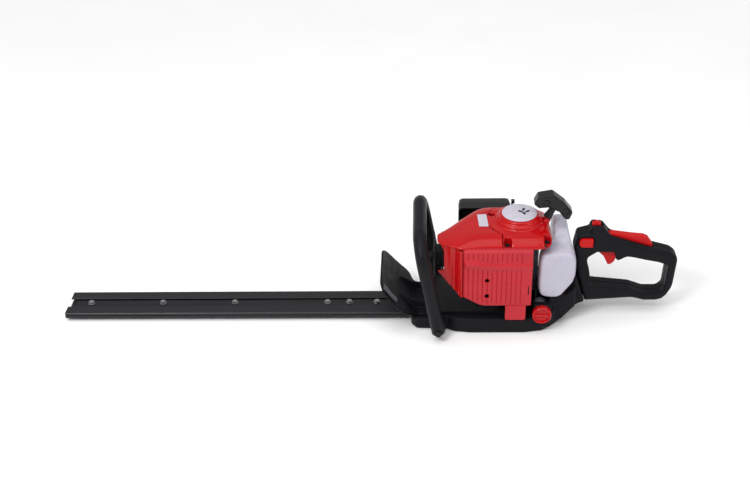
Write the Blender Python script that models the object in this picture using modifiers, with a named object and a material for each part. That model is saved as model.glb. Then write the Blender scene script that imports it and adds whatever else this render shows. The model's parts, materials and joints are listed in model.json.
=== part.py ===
"""Petrol hedge trimmer with a double-sided blade, as separate named parts.

Frame: +X points to the rear handle, the blade points to -X, +Z is up. The origin is on the
base frame's flat underside, straight below the crankshaft. Units are metres.
"""
import math

import bmesh
import bpy
from mathutils import Matrix, Vector

# ---------------------------------------------------------------- driving dimensions
GAP = 0.0003               # clearance between two pieces that touch

# cutting bar
BAR_END_X = -0.850         # free end of the guide bar
BAR_ROOT_X = -0.108        # end of the guide bar inside the base frame
BAR_WIDTH = 0.022
BAR_SHEET = 0.0020
BLADE_SHEET = 0.0016
BLADE_END_X = -0.846
BLADE_TEETH_ROOT_X = -0.232    # the last tooth starts here
BLADE_SPINE = 0.036        # width of a blade without its teeth
BLADE_WIDTH = 0.066        # width over the teeth
TOOTH_PITCH = 0.0340
STROKE = 0.016
BOLT_RADIUS = 0.0030
BOLT_HEAD_RADIUS = 0.0062
BOLT_HEAD = 0.0014
BOLT_NUT = 0.0048
BOLT_PLACES = (-0.819, -0.679, -0.539, -0.360, -0.318, -0.265)
BOLT_CLEARANCE = 0.0004

# scabbard
SCABBARD_LENGTH = 0.655
SCABBARD_END_X = -0.862
SCABBARD_WIDTH = 0.0740
SCABBARD_WALL = 0.0015
SCABBARD_BOTTOM_Z = 0.0062
SCABBARD_SLOT = 0.0256
SCABBARD_LIP = 0.0010      # how far the top wall stands over the guide bar

# base frame
BASE_LEFT_X = -0.199
BASE_HALF_WIDTH = 0.0800
BASE_RIM_Z = 0.0310
POCKET_WALL = 0.0060
NECK_HALF_WIDTH = 0.0220
NECK_SEAM_LOW = (0.1270, 0.0290)
NECK_SEAM_HIGH = (0.1100, 0.0870)

# gear train
GEAR_MODULE = 0.0030
GEAR_TEETH = 30
PINION_TEETH = 10
GEAR_THICKNESS = 0.0080
GEAR_BOTTOM_Z = 0.0190
ECCENTRIC_RADIUS = 0.0100
DRUM_RADIUS = 0.0300
DRUM_WALL = 0.0025
DRUM_HEIGHT = 0.0140
DRUM_BOTTOM_Z = 0.0365
BELL_WALL = 0.0035
BELL_TOP_Z = 0.0582

# engine
CYLINDER_Z = 0.1220
BORE_RADIUS = 0.0162
CYLINDER_WALL = 0.0060
CYLINDER_END_X = -0.1565
FIN_SIZE = 0.0780
FIN_COUNT = 7
FIN_SHEET = 0.0022
CRANK_RADIUS = 0.0140
SHAFT_RADIUS = 0.0070
CRANKCASE_RADIUS = 0.0390
CRANKCASE_TOP_Z = 0.1450
WEB_RADIUS = 0.0290
WEB_SHEET = 0.0070
ROD_LENGTH = 0.0700
PISTON_PIN_RADIUS = 0.0035
CROWN_HEIGHT = 0.0150      # from the piston pin up to the crown
SKIRT_HEIGHT = 0.0120      # from the piston pin down to the skirt's edge
FLYWHEEL_RADIUS = 0.0440
FLYWHEEL_Z = 0.1500
FLYWHEEL_HEIGHT = 0.0180
FLYWHEEL_BLADES = 14

# covers
COVER_SHEET = 0.0025
COVER_NEAR_Y = -0.0785
COVER_FAR_Y = 0.0640
COVER_RIM_Z = 0.1805
COVER_TOP_Z = 0.1985
COVER_TIP_X = -0.1500
STARTER_RADIUS = 0.0480
FLANGE_RADIUS = 0.0600
STARTER_TOP_Z = 0.2115
BADGE_RADIUS = 0.0318
BADGE_SHEET = 0.0012
SIDE_FACE_Y = -0.0828
SIDE_LEFT_X = -0.1050
SIDE_RIGHT_X = 0.0205
SIDE_BOTTOM_Z = 0.0620
SIDE_TOP_Z = 0.1798
SIDE_DEPTH = 0.0240
RIB_PITCH = 0.0120
RIB_GROOVE = 0.0014
RIB_DEPTH = 0.0010
HOLE_RADIUS = 0.0042

# starter
REEL_RADIUS = 0.0290
GRIP_TILT = math.radians(27.0)
GRIP_BASE = (0.0510, 0.0, 0.2035)

# front handle
TUBE_RADIUS = 0.0129
LOOP_HALF_WIDTH = 0.1000
LOOP_TOP = (-0.1815, 0.1995)
LOOP_FOOT = (-0.1480, 0.0160)
LOOP_BEND = 0.0450
HANDLE_BOLT_Z = 0.0225

# hand guard
GUARD_SHEET = 0.0036
GUARD_HALF_WIDTH = 0.0775
GUARD_TOP_Z = 0.0985

# fuel tank
TANK_NEAR_Y = -0.0660
TANK_FAR_Y = 0.0500
TANK_BOTTOM_Z = 0.0670
TANK_TOP_Z = 0.1720
TANK_WALL = 0.0025
NECK_RADIUS = 0.0130
CAP_CENTRE = (0.0412, 0.0434)
CAP_RADIUS = 0.0175
CAP_DEPTH = 0.0095

# air cleaner
AIR_LEFT_X = -0.1085
AIR_RIGHT_X = -0.0090
AIR_BOTTOM_Z = 0.1180
AIR_TOP_Z = 0.1850
AIR_NEAR_Y = 0.0745
AIR_RIM_DEPTH = 0.0090
AIR_CASE_DEPTH = 0.0120
AIR_COVER_DEPTH = 0.0260

# rear handle
HANDLE_HALF_WIDTH = 0.0190
HANDLE_EDGE = 0.0065
TRIGGER_PIVOT = (0.1480, 0.1500)
TRIGGER_HALF_WIDTH = 0.0050
LEVER_PIVOT = (0.1690, 0.1640)
LEVER_HALF_WIDTH = 0.0070
PIN_RADIUS = 0.0020

# ---------------------------------------------------------------- sizes that follow
HEAD_Z = SCABBARD_BOTTOM_Z + SCABBARD_WALL + GAP
LOWER_Z = HEAD_Z + BOLT_HEAD + GAP
UPPER_Z = LOWER_Z + BLADE_SHEET + GAP
BAR_Z = UPPER_Z + BLADE_SHEET + GAP
BAR_TOP_Z = BAR_Z + BAR_SHEET
SCABBARD_TOP_Z = BAR_TOP_Z + SCABBARD_LIP + SCABBARD_WALL
ECCENTRICITY = STROKE / 2.0
GEAR_PITCH_RADIUS = GEAR_MODULE * GEAR_TEETH / 2.0
PINION_PITCH_RADIUS = GEAR_MODULE * PINION_TEETH / 2.0
PISTON_PIN_X = -(ROD_LENGTH + CRANK_RADIUS)
GEAR_X = -(GEAR_PITCH_RADIUS + PINION_PITCH_RADIUS)
YOKE_HALF_X = ECCENTRIC_RADIUS + 2.0 * ECCENTRICITY + 0.0005
YOKE_HALF_Y = ECCENTRIC_RADIUS + ECCENTRICITY + 0.0006
YOKE_RIM = 0.0060
BELL_RADIUS = DRUM_RADIUS + 0.0025 + BELL_WALL
CASE_TOP_Z = BASE_RIM_Z + GAP + 0.0035


# ---------------------------------------------------------------- helpers
def clear_scene():
    """Remove the objects of the start-up file."""
    for obj in list(bpy.data.objects):
        bpy.data.objects.remove(obj, do_unlink=True)


clear_scene()
PARTS = bpy.data.collections.new("hedge_trimmer")
bpy.context.scene.collection.children.link(PARTS)


def material(name, colour, roughness, metallic=0.0):
    """A plain Principled material."""
    made = bpy.data.materials.new(name)
    made.use_nodes = True
    shader = made.node_tree.nodes["Principled BSDF"]
    shader.inputs["Base Color"].default_value = (*colour, 1.0)
    shader.inputs["Roughness"].default_value = roughness
    shader.inputs["Metallic"].default_value = metallic
    return made


BLACK = material("black_plastic", (0.020, 0.020, 0.024), 0.45)
DARK = material("scabbard_black", (0.050, 0.048, 0.056), 0.50)
RED = material("red_gloss", (0.60, 0.015, 0.020), 0.20)
MILKY = material("tank_plastic", (0.62, 0.60, 0.68), 0.35)
STEEL = material("steel", (0.55, 0.55, 0.56), 0.30, 1.0)
ALLOY = material("cast_alloy", (0.42, 0.42, 0.44), 0.50, 1.0)
SILVER = material("badge_silver", (0.72, 0.70, 0.75), 0.35)
IRON = material("black_metal", (0.030, 0.032, 0.036), 0.55, 0.4)
FOAM = material("filter_foam", (0.60, 0.42, 0.05), 0.90)
RUBBER = material("rubber", (0.015, 0.015, 0.016), 0.80)
CERAMIC = material("spark_ceramic", (0.85, 0.84, 0.80), 0.20)


def link(obj):
    """Put an object in the parts collection only."""
    for collection in list(obj.users_collection):
        collection.objects.unlink(obj)
    PARTS.objects.link(obj)
    return obj


def from_mesh(name, mesh, matrix=None):
    obj = bpy.data.objects.new(name, mesh)
    if matrix is not None:
        obj.matrix_world = matrix
    return link(obj)


def bake(obj, recalculate=False):
    """Turn a curve, or a mesh with modifiers, into a plain closed mesh in world space."""
    bpy.context.view_layer.update()
    seen = obj.evaluated_get(bpy.context.evaluated_depsgraph_get())
    mesh = bpy.data.meshes.new_from_object(seen)
    mesh.transform(obj.matrix_world)
    work = bmesh.new()
    work.from_mesh(mesh)
    bmesh.ops.remove_doubles(work, verts=work.verts, dist=0.00002)
    if recalculate:
        bmesh.ops.recalc_face_normals(work, faces=work.faces)
    work.to_mesh(mesh)
    work.free()
    name = obj.name
    bpy.data.objects.remove(obj, do_unlink=True)
    return from_mesh(name, mesh)


def combine(obj, other, operation):
    """Apply an exact Boolean of two solids and drop the second."""
    tool = obj.modifiers.new(operation, "BOOLEAN")
    tool.operation = operation
    tool.object = other
    made = bake(obj)
    bpy.data.objects.remove(other, do_unlink=True)
    return made


def cut(obj, *others):
    for other in others:
        obj = combine(obj, other, "DIFFERENCE")
    return obj


def join(obj, *others):
    for other in others:
        obj = combine(obj, other, "UNION")
    return obj


def common(obj, other):
    return combine(obj, other, "INTERSECT")


def finish(obj, name, surface, sharp=35.0):
    """Name a piece, drop needless points on its flat faces, and give it its material."""
    work = bmesh.new()
    work.from_mesh(obj.data)
    bmesh.ops.dissolve_limit(work, angle_limit=0.002, verts=work.verts, edges=work.edges)
    work.to_mesh(obj.data)
    work.free()
    obj.name = name
    obj.data.name = name
    obj.data.materials.clear()
    obj.data.materials.append(surface)
    obj.data.shade_smooth()
    obj.data.set_sharp_from_angle(angle=math.radians(sharp))
    return obj


def bevel(obj, width, segments=1, angle=40.0):
    """Round the sharp edges of a solid."""
    edge = obj.modifiers.new("edge", "BEVEL")
    edge.width = width
    edge.segments = segments
    edge.limit_method = "ANGLE"
    edge.angle_limit = math.radians(angle)
    return bake(obj)


def box(low, high, edge=0.0, segments=1):
    """A box between two corners."""
    bpy.ops.mesh.primitive_cube_add(size=1.0)
    obj = link(bpy.context.object)
    size = Vector(high) - Vector(low)
    centre = (Vector(high) + Vector(low)) / 2.0
    obj.data.transform(Matrix.Translation(centre) @ Matrix.Diagonal((*size, 1.0)))
    return bevel(obj, edge, segments) if edge > 0.0 else obj


def axis_matrix(axis):
    """Turn local +Z to the named world axis."""
    if axis == "X":
        return Matrix.Rotation(math.radians(90.0), 4, "Y")
    if axis == "Y":
        return Matrix.Rotation(math.radians(-90.0), 4, "X")
    return Matrix.Identity(4)


def rod(radius, start, end, axis, centre, sides=20, radius_end=None):
    """A cylinder or cone along an axis, from start to end on it.

    centre gives the two other coordinates, in the order X, Y, Z without the axis.
    """
    length = end - start
    middle = (start + end) / 2.0
    spot = {"X": (middle, *centre), "Y": (centre[0], middle, centre[1]), "Z": (*centre, middle)}[axis]
    bpy.ops.mesh.primitive_cone_add(
        vertices=sides, radius1=radius, radius2=radius if radius_end is None else radius_end,
        depth=length)
    obj = link(bpy.context.object)
    obj.data.transform(Matrix.Translation(spot) @ axis_matrix(axis))
    return obj


def turned(profile, axis, centre, steps=32):
    """Turn a closed profile of (radius, height) points around an axis.

    The profile runs down the outer side from the top and comes back up the inner side.
    """
    mesh = bpy.data.meshes.new("profile")
    closed = profile[0][0] > 0.0 or profile[-1][0] > 0.0
    edges = [(i, i + 1) for i in range(len(profile) - 1)]
    if closed:
        edges.append((len(profile) - 1, 0))
    mesh.from_pydata([(radius, 0.0, height) for radius, height in profile], edges, [])
    obj = from_mesh("turned", mesh)
    screw = obj.modifiers.new("screw", "SCREW")
    screw.axis = "Z"
    screw.steps = steps
    screw.render_steps = steps
    screw.use_merge_vertices = True
    screw.merge_threshold = 0.00001
    obj = bake(obj, True)
    obj.data.transform(Matrix.Translation(centre) @ axis_matrix(axis))
    return obj


def rounded(points, segments=4):
    """Replace each corner (x, y, radius) by an arc; a corner (x, y) stays sharp."""
    made = []
    count = len(points)
    for index, point in enumerate(points):
        corner = Vector(point[:2])
        radius = point[2] if len(point) > 2 else 0.0
        if radius <= 0.0:
            made.append(tuple(corner))
            continue
        before = (Vector(points[index - 1][:2]) - corner).normalized()
        after = (Vector(points[(index + 1) % count][:2]) - corner).normalized()
        half = before.angle(after) / 2.0
        reach = radius / math.tan(half)
        centre = corner + (before + after).normalized() * (radius / math.sin(half))
        start = corner + before * reach - centre
        sweep = (corner + after * reach - centre).angle_signed(start)
        for step in range(segments + 1):
            turn = Matrix.Rotation(sweep * step / segments, 2)
            made.append(tuple(centre + turn @ start))
    return made


def plate(outline, low, high, plane="XY", edge=0.0, rounding=1):
    """A flat outline made thick between two heights on the plane's normal.

    Planes: XY (up along Z), XZ (along Y) and YZ (along X).
    """
    shape = bpy.data.curves.new("outline", "CURVE")
    shape.dimensions = "2D"
    shape.fill_mode = "BOTH"
    shape.extrude = (high - low) / 2.0 - edge
    shape.bevel_depth = edge
    shape.bevel_resolution = rounding
    shape.offset = -edge
    spline = shape.splines.new("POLY")
    spline.points.add(len(outline) - 1)
    for point, (first, second) in zip(spline.points, outline):
        point.co = (first, second, 0.0, 1.0)
    spline.use_cyclic_u = True
    obj = link(bpy.data.objects.new("plate", shape))
    middle = (low + high) / 2.0
    if plane == "XY":
        obj.matrix_world = Matrix.Translation((0.0, 0.0, middle))
    elif plane == "XZ":
        obj.matrix_world = Matrix.Translation((0.0, middle, 0.0)) @ Matrix.Rotation(math.pi / 2.0, 4, "X")
    else:
        turn = Matrix(((0.0, 0.0, 1.0, 0.0), (1.0, 0.0, 0.0, 0.0), (0.0, 1.0, 0.0, 0.0), (0.0, 0.0, 0.0, 1.0)))
        obj.matrix_world = Matrix.Translation((middle, 0.0, 0.0)) @ turn
    return bake(obj, True)


def tube(points, radius, resolution=2):
    """A round bar along a list of points."""
    path = bpy.data.curves.new("path", "CURVE")
    path.dimensions = "3D"
    path.bevel_depth = radius
    path.bevel_resolution = resolution
    path.use_fill_caps = True
    spline = path.splines.new("POLY")
    spline.points.add(len(points) - 1)
    for point, place in zip(spline.points, points):
        point.co = (*place, 1.0)
    return bake(link(bpy.data.objects.new("tube", path)), True)


def loft(rings):
    """A solid skinned over rings with the same number of points, closed at both ends."""
    work = bmesh.new()
    rows = [[work.verts.new(point) for point in ring] for ring in rings]
    count = len(rows[0])
    for lower, upper in zip(rows, rows[1:]):
        for index in range(count):
            after = (index + 1) % count
            work.faces.new((lower[index], lower[after], upper[after], upper[index]))
    work.faces.new(rows[0])
    work.faces.new(rows[-1])
    bmesh.ops.recalc_face_normals(work, faces=work.faces)
    mesh = bpy.data.meshes.new("loft")
    work.to_mesh(mesh)
    work.free()
    return from_mesh("loft", mesh)


def mirrored(half):
    """Close an outline given as (x, half width) along +Y by its mirror image."""
    return [(x, y) for x, y in half] + [(x, -y) for x, y in reversed(half)]


def moved(obj, matrix):
    obj.data.transform(matrix)
    return obj


# ---------------------------------------------------------------- cutting bar
def make_guide_bar():
    bar = box((BAR_END_X, -BAR_WIDTH / 2.0, BAR_Z), (BAR_ROOT_X, BAR_WIDTH / 2.0, BAR_TOP_Z))
    for place in BOLT_PLACES:
        hole = BOLT_RADIUS + GAP
        bar = cut(bar, rod(hole, BAR_Z - 0.002, BAR_TOP_Z + 0.002, "Z", (place, 0.0), 12))
    return finish(bar, "guide_bar", STEEL)


def tooth_outline():
    """One side of the blade: the spine's edge with its row of teeth, from free end to root."""
    spine = BLADE_SPINE / 2.0
    reach = BLADE_WIDTH / 2.0
    count = int((BLADE_TEETH_ROOT_X - BLADE_END_X) / TOOTH_PITCH)
    points = [(BLADE_END_X, spine)]
    for index in range(count):
        start = BLADE_END_X + 0.004 + index * TOOTH_PITCH
        points.append((start, spine))
        points.append((start + 0.0045, reach))
        points.append((start + 0.0125, reach))
        points.append((start + 0.0170, spine))
    points.append((BLADE_TEETH_ROOT_X, spine))
    return points


def make_blade(name, low):
    """A toothed blade with bolt slots and the yoke around its eccentric."""
    spine = BLADE_SPINE / 2.0
    yoke_left = GEAR_X - YOKE_HALF_X - YOKE_RIM
    yoke_right = GEAR_X + YOKE_HALF_X + YOKE_RIM
    yoke_half = YOKE_HALF_Y + YOKE_RIM
    half = tooth_outline()
    half.append((yoke_left - 0.010, spine))
    half.append((yoke_left, yoke_half))
    half.append((yoke_right, yoke_half))
    blade = plate(mirrored(half), low, low + BLADE_SHEET)
    for place in BOLT_PLACES:
        reach = STROKE / 2.0 + BOLT_RADIUS + BOLT_CLEARANCE
        wide = BOLT_RADIUS + BOLT_CLEARANCE
        slot = rounded([(place - reach, -wide, wide * 0.99), (place + reach, -wide, wide * 0.99),
                        (place + reach, wide, wide * 0.99), (place - reach, wide, wide * 0.99)], 2)
        blade = cut(blade, plate(slot, low - 0.002, low + BLADE_SHEET + 0.002))
    yoke = rounded([(GEAR_X - YOKE_HALF_X, -YOKE_HALF_Y, 0.008), (GEAR_X + YOKE_HALF_X, -YOKE_HALF_Y, 0.008),
                    (GEAR_X + YOKE_HALF_X, YOKE_HALF_Y, 0.008), (GEAR_X - YOKE_HALF_X, YOKE_HALF_Y, 0.008)], 2)
    blade = cut(blade, plate(yoke, low - 0.002, low + BLADE_SHEET + 0.002))
    return finish(blade, name, STEEL)


def make_blade_bolt(name, place):
    """A low head under the blades, a shank, and a washer and nut on the guide bar."""
    washer_z = BAR_TOP_Z + GAP
    profile = [(0.0, washer_z + 0.0010), (BOLT_HEAD_RADIUS, washer_z + 0.0010),
               (BOLT_HEAD_RADIUS, washer_z), (BOLT_RADIUS, washer_z),
               (BOLT_RADIUS, HEAD_Z + BOLT_HEAD), (BOLT_HEAD_RADIUS, HEAD_Z + BOLT_HEAD),
               (BOLT_HEAD_RADIUS * 0.85, HEAD_Z), (0.0, HEAD_Z)]
    bolt = turned(profile, "Z", (place, 0.0, 0.0), 12)
    nut = rod(0.0052, washer_z + 0.0005, washer_z + BOLT_NUT, "Z", (place, 0.0), 6)
    return finish(join(bolt, nut), name, STEEL)


def make_scabbard():
    """A flat channel over both edges of the blades, open along the middle of its top."""
    half = SCABBARD_WIDTH / 2.0
    bottom = SCABBARD_BOTTOM_Z
    top = SCABBARD_TOP_Z
    slot = SCABBARD_SLOT / 2.0
    inner = half - SCABBARD_WALL
    groove = (bottom + top) / 2.0 + 0.0012
    right = [(0.0, bottom), (half - 0.0015, bottom), (half, bottom + 0.0015), (half, groove - 0.0009),
             (half - 0.0008, groove - 0.0006), (half - 0.0008, groove + 0.0006), (half, groove + 0.0009),
             (half, top - 0.0012), (half - 0.0012, top), (slot + 0.0004, top), (slot, top - 0.0004),
             (slot, top - SCABBARD_WALL), (inner, top - SCABBARD_WALL), (inner, bottom + SCABBARD_WALL),
             (0.0, bottom + SCABBARD_WALL)]
    left = [(-y, z) for y, z in reversed(right[1:-1])]
    section = plate(right + left, SCABBARD_END_X, SCABBARD_END_X + SCABBARD_LENGTH, "YZ")
    return finish(section, "scabbard", DARK, 25.0)


# ---------------------------------------------------------------- base frame and gear case
def base_half_outline():
    """Half widths of the base frame, seen from above."""
    wide = BASE_HALF_WIDTH
    return [(BASE_LEFT_X, 0.052), (BASE_LEFT_X + 0.010, 0.065), (-0.132, 0.0675), (-0.118, wide - 0.004),
            (-0.090, wide), (0.012, wide), (0.044, wide - 0.006), (0.062, 0.060), (0.080, 0.040),
            (0.098, NECK_HALF_WIDTH + 0.003), (0.112, NECK_HALF_WIDTH), (0.130, NECK_HALF_WIDTH)]


def base_side_outline():
    """The base frame seen from the side: foot, tray, and the neck that rises to the handle."""
    return [(BASE_LEFT_X, 0.0), (BASE_LEFT_X, 0.0200), (BASE_LEFT_X + 0.002, 0.0220), (-0.150, 0.0220),
            (-0.140, BASE_RIM_Z), (0.040, BASE_RIM_Z), (0.060, 0.0350), (0.078, 0.0420), (0.092, 0.0560),
            (0.1045, 0.0820), (0.1045, NECK_SEAM_HIGH[1]), NECK_SEAM_HIGH,
            NECK_SEAM_LOW, (0.1180, 0.0265), (0.1060, 0.0190), (0.0930, 0.0060), (0.0850, 0.0010),
            (0.0780, 0.0)]


def riser_outline():
    """The raised part of the base frame that carries the fuel tank, seen from the side."""
    top = TANK_BOTTOM_Z - GAP
    return [(0.0410, 0.010), (0.0410, top), (0.0850, top), (0.0960, top + 0.0080),
            (0.1035, 0.0830), (0.1050, 0.0830), (0.1050, 0.040), (0.080, 0.010)]


def pocket_outline(shrink):
    """The gear pocket's plan, shrunk by a clearance."""
    left = GEAR_X - GEAR_PITCH_RADIUS - 0.0450 + shrink
    right = PINION_PITCH_RADIUS + 0.0045 - shrink
    half = GEAR_PITCH_RADIUS + GEAR_MODULE + 0.0040 - shrink
    return rounded([(left, -half, 0.012), (right, -half, 0.015), (right, half, 0.015), (left, half, 0.012)], 2)


def make_base_frame():
    side = plate(base_side_outline(), -0.1, 0.1, "XZ")
    plan = plate(mirrored(base_half_outline()), -0.01, 0.12)
    frame = common(plan, side)
    floor_z = SCABBARD_BOTTOM_Z + SCABBARD_WALL
    frame = bevel(frame, 0.0022, 1, 50.0)
    frame = join(frame, plate(riser_outline(), -0.052, 0.052, "XZ", 0.0015, 0))
    frame = cut(frame, plate(pocket_outline(0.0), floor_z, 0.06))
    # lugs that the front handle bolts to
    for side_sign in (-1.0, 1.0):
        reach = LOOP_HALF_WIDTH - TUBE_RADIUS - GAP
        near, far = sorted((side_sign * 0.058, side_sign * reach))
        middle = LOOP_FOOT[0] + 0.0005
        lug = box((middle - 0.013, near, 0.0055), (middle + 0.013, far, 0.0300), 0.003, 1)
        frame = join(frame, lug)
        start, end = sorted((side_sign * (reach - 0.018), side_sign * (reach + 0.002)))
        hole = rod(0.0033 + GAP, start, end, "Y", (handle_bolt_x(), HANDLE_BOLT_Z), 12)
        frame = cut(frame, hole)
    # slot that the blades and the guide bar pass through, and the clamp's seat over it
    spine = BLADE_SPINE / 2.0 + 0.0010
    frame = cut(frame, box((BASE_LEFT_X - 0.01, -spine, floor_z), (-0.10, spine, BAR_TOP_Z + GAP)))
    # bearing of the drive gear's lower pin
    frame = cut(frame, rod(0.0050 + GAP, 0.0040, floor_z + 0.002, "Z", (GEAR_X, 0.0), 16))
    # the filler neck's block, its passage, and the pocket of the tank's foot behind it
    frame = join(frame, box((0.0262, -0.0765, 0.0100), (0.0590, -0.0405, 0.0595), 0.0012, 1))
    frame = cut(frame, rod(NECK_RADIUS + GAP, -0.09, -0.042, "Y", CAP_CENTRE, 20))
    half = NECK_RADIUS + GAP
    frame = cut(frame, box((CAP_CENTRE[0] - half, -0.0603, CAP_CENTRE[1] - half),
                           (CAP_CENTRE[0] + half, -0.0397, TANK_BOTTOM_Z + 0.01)))
    return finish(frame, "base_frame", BLACK)


def handle_bolt_x():
    """Where the front handle's leg is at the height of its bolt."""
    share = (HANDLE_BOLT_Z - LOOP_FOOT[1]) / (LOOP_TOP[1] - LOOP_FOOT[1])
    return LOOP_FOOT[0] + share * (LOOP_TOP[0] - LOOP_FOOT[0])


def make_gear_case():
    """The lid of the gear pocket with the bell around the clutch drum."""
    low = BASE_RIM_Z + GAP
    lid = plate(pocket_outline(-POCKET_WALL), low, CASE_TOP_Z)
    bell = rod(BELL_RADIUS, low, BELL_TOP_Z, "Z", (0.0, 0.0), 28)
    case = join(lid, bell)
    inner = rod(BELL_RADIUS - BELL_WALL, CASE_TOP_Z, BELL_TOP_Z + 0.002, "Z", (0.0, 0.0), 28)
    case = cut(case, inner)
    case = cut(case, rod(0.0095, low - 0.002, CASE_TOP_Z + 0.002, "Z", (0.0, 0.0), 16))
    # raised boss above the drive gear
    boss = rod(0.016, CASE_TOP_Z - 0.001, CASE_TOP_Z + 0.005, "Z", (GEAR_X, 0.0), 20, 0.013)
    case = join(case, boss)
    return finish(case, "gear_case", IRON)


def make_blade_clamp():
    """The block that holds the guide bar's root down in the gear pocket."""
    left = GEAR_X - GEAR_PITCH_RADIUS - 0.0420
    right = GEAR_X - GEAR_PITCH_RADIUS - GEAR_MODULE - 0.0015
    clamp = box((left, -0.024, BAR_TOP_Z + GAP), (right, 0.024, BASE_RIM_Z - GAP), 0.0015, 1)
    return finish(clamp, "blade_clamp", ALLOY)


def gear_outline(teeth, phase):
    """A straight-sided gear outline around the origin, with generous backlash."""
    pitch_radius = GEAR_MODULE * teeth / 2.0
    step = 2.0 * math.pi / teeth
    points = []
    for index in range(teeth):
        centre = phase + index * step
        for share, radius in ((-0.25, -1.20), (-0.11, 0.85), (0.11, 0.85), (0.25, -1.20)):
            angle = centre + share * step
            reach = pitch_radius + radius * GEAR_MODULE
            points.append((reach * math.cos(angle), reach * math.sin(angle)))
    return points


def make_drive_gear():
    """The large gear with the two opposed eccentrics under it."""
    gear = plate(gear_outline(GEAR_TEETH, 0.0), GEAR_BOTTOM_Z, GEAR_BOTTOM_Z + GEAR_THICKNESS)
    split = (LOWER_Z + BLADE_SHEET + UPPER_Z) / 2.0
    hub_z = UPPER_Z + BLADE_SHEET + GAP
    lower = rod(ECCENTRIC_RADIUS, LOWER_Z - 0.0008, split, "Z", (ECCENTRICITY, 0.0), 16)
    upper = rod(ECCENTRIC_RADIUS, split, hub_z + 0.0005, "Z", (-ECCENTRICITY, 0.0), 16)
    hub = rod(0.0120, hub_z, GEAR_BOTTOM_Z + 0.001, "Z", (0.0, 0.0), 16)
    pin = rod(0.0050, 0.0050, BASE_RIM_Z, "Z", (0.0, 0.0), 16)
    gear = join(gear, hub, upper, lower, pin)
    moved(gear, Matrix.Translation((GEAR_X, 0.0, 0.0)))
    return finish(gear, "drive_gear", STEEL)


def make_clutch_drum():
    """The clutch's cup with the pinion on its shaft."""
    half_step = math.pi / PINION_TEETH
    pinion = plate(gear_outline(PINION_TEETH, math.pi + half_step), GEAR_BOTTOM_Z,
                   GEAR_BOTTOM_Z + GEAR_THICKNESS)
    neck = rod(0.0085, GEAR_BOTTOM_Z + GEAR_THICKNESS - 0.001, DRUM_BOTTOM_Z + 0.001, "Z", (0.0, 0.0), 16)
    inner = DRUM_RADIUS - DRUM_WALL
    top = DRUM_BOTTOM_Z + DRUM_HEIGHT
    floor_z = DRUM_BOTTOM_Z + 0.003
    cup = turned([(DRUM_RADIUS, top), (DRUM_RADIUS, DRUM_BOTTOM_Z), (0.0, DRUM_BOTTOM_Z), (0.0, floor_z),
                  (inner, floor_z), (inner, top)], "Z", (0.0, 0.0, 0.0), 28)
    return finish(join(cup, neck, pinion), "clutch_drum", STEEL)


def make_clutch_hub():
    """Two centrifugal shoes on a hub at the crankshaft's lower end."""
    low = DRUM_BOTTOM_Z + 0.003 + 0.0008
    high = DRUM_BOTTOM_Z + DRUM_HEIGHT - 0.0005
    reach = DRUM_RADIUS - DRUM_WALL - 0.0010
    shoes = rod(reach, low, high, "Z", (0.0, 0.0), 28)
    shoes = cut(shoes, rod(0.0135, low - 0.001, high + 0.001, "Z", (0.0, 0.0), 16))
    shoes = cut(shoes, box((-0.002, 0.005, low - 0.001), (0.002, 0.04, high + 0.001)))
    shoes = cut(shoes, box((-0.002, -0.04, low - 0.001), (0.002, -0.005, high + 0.001)))
    bridge = box((-0.018, -0.0095, low), (0.018, 0.0095, high - 0.002))
    hub = join(shoes, bridge)
    hub = cut(hub, rod(SHAFT_RADIUS - 0.001 + GAP, low - 0.001, high + 0.001, "Z", (0.0, 0.0), 16))
    return finish(hub, "clutch_hub", ALLOY)


# ---------------------------------------------------------------- engine
def make_crankcase():
    low = BELL_TOP_Z + GAP
    body = rod(CRANKCASE_RADIUS, low, CRANKCASE_TOP_Z, "Z", (0.0, 0.0), 28)
    flange = box((-CRANKCASE_RADIUS - 0.001, -0.026, CYLINDER_Z - 0.026), (-0.020, 0.026, CRANKCASE_TOP_Z))
    body = join(body, flange)
    chamber = rod(WEB_RADIUS + 0.0020, CYLINDER_Z - 0.0110, CYLINDER_Z + 0.0150, "Z", (0.0, 0.0), 20)
    mouth = rod(BORE_RADIUS, -0.06, 0.0, "X", (0.0, CYLINDER_Z), 20)
    shaft = rod(SHAFT_RADIUS + GAP, low - 0.002, CRANKCASE_TOP_Z + 0.002, "Z", (0.0, 0.0), 20)
    # hollow around the lower bearing, open to the clutch
    well = rod(0.030, low - 0.002, CYLINDER_Z - 0.028, "Z", (0.0, 0.0), 20)
    body = cut(body, mouth, chamber, well, shaft)
    return finish(body, "crankcase", ALLOY)


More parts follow.
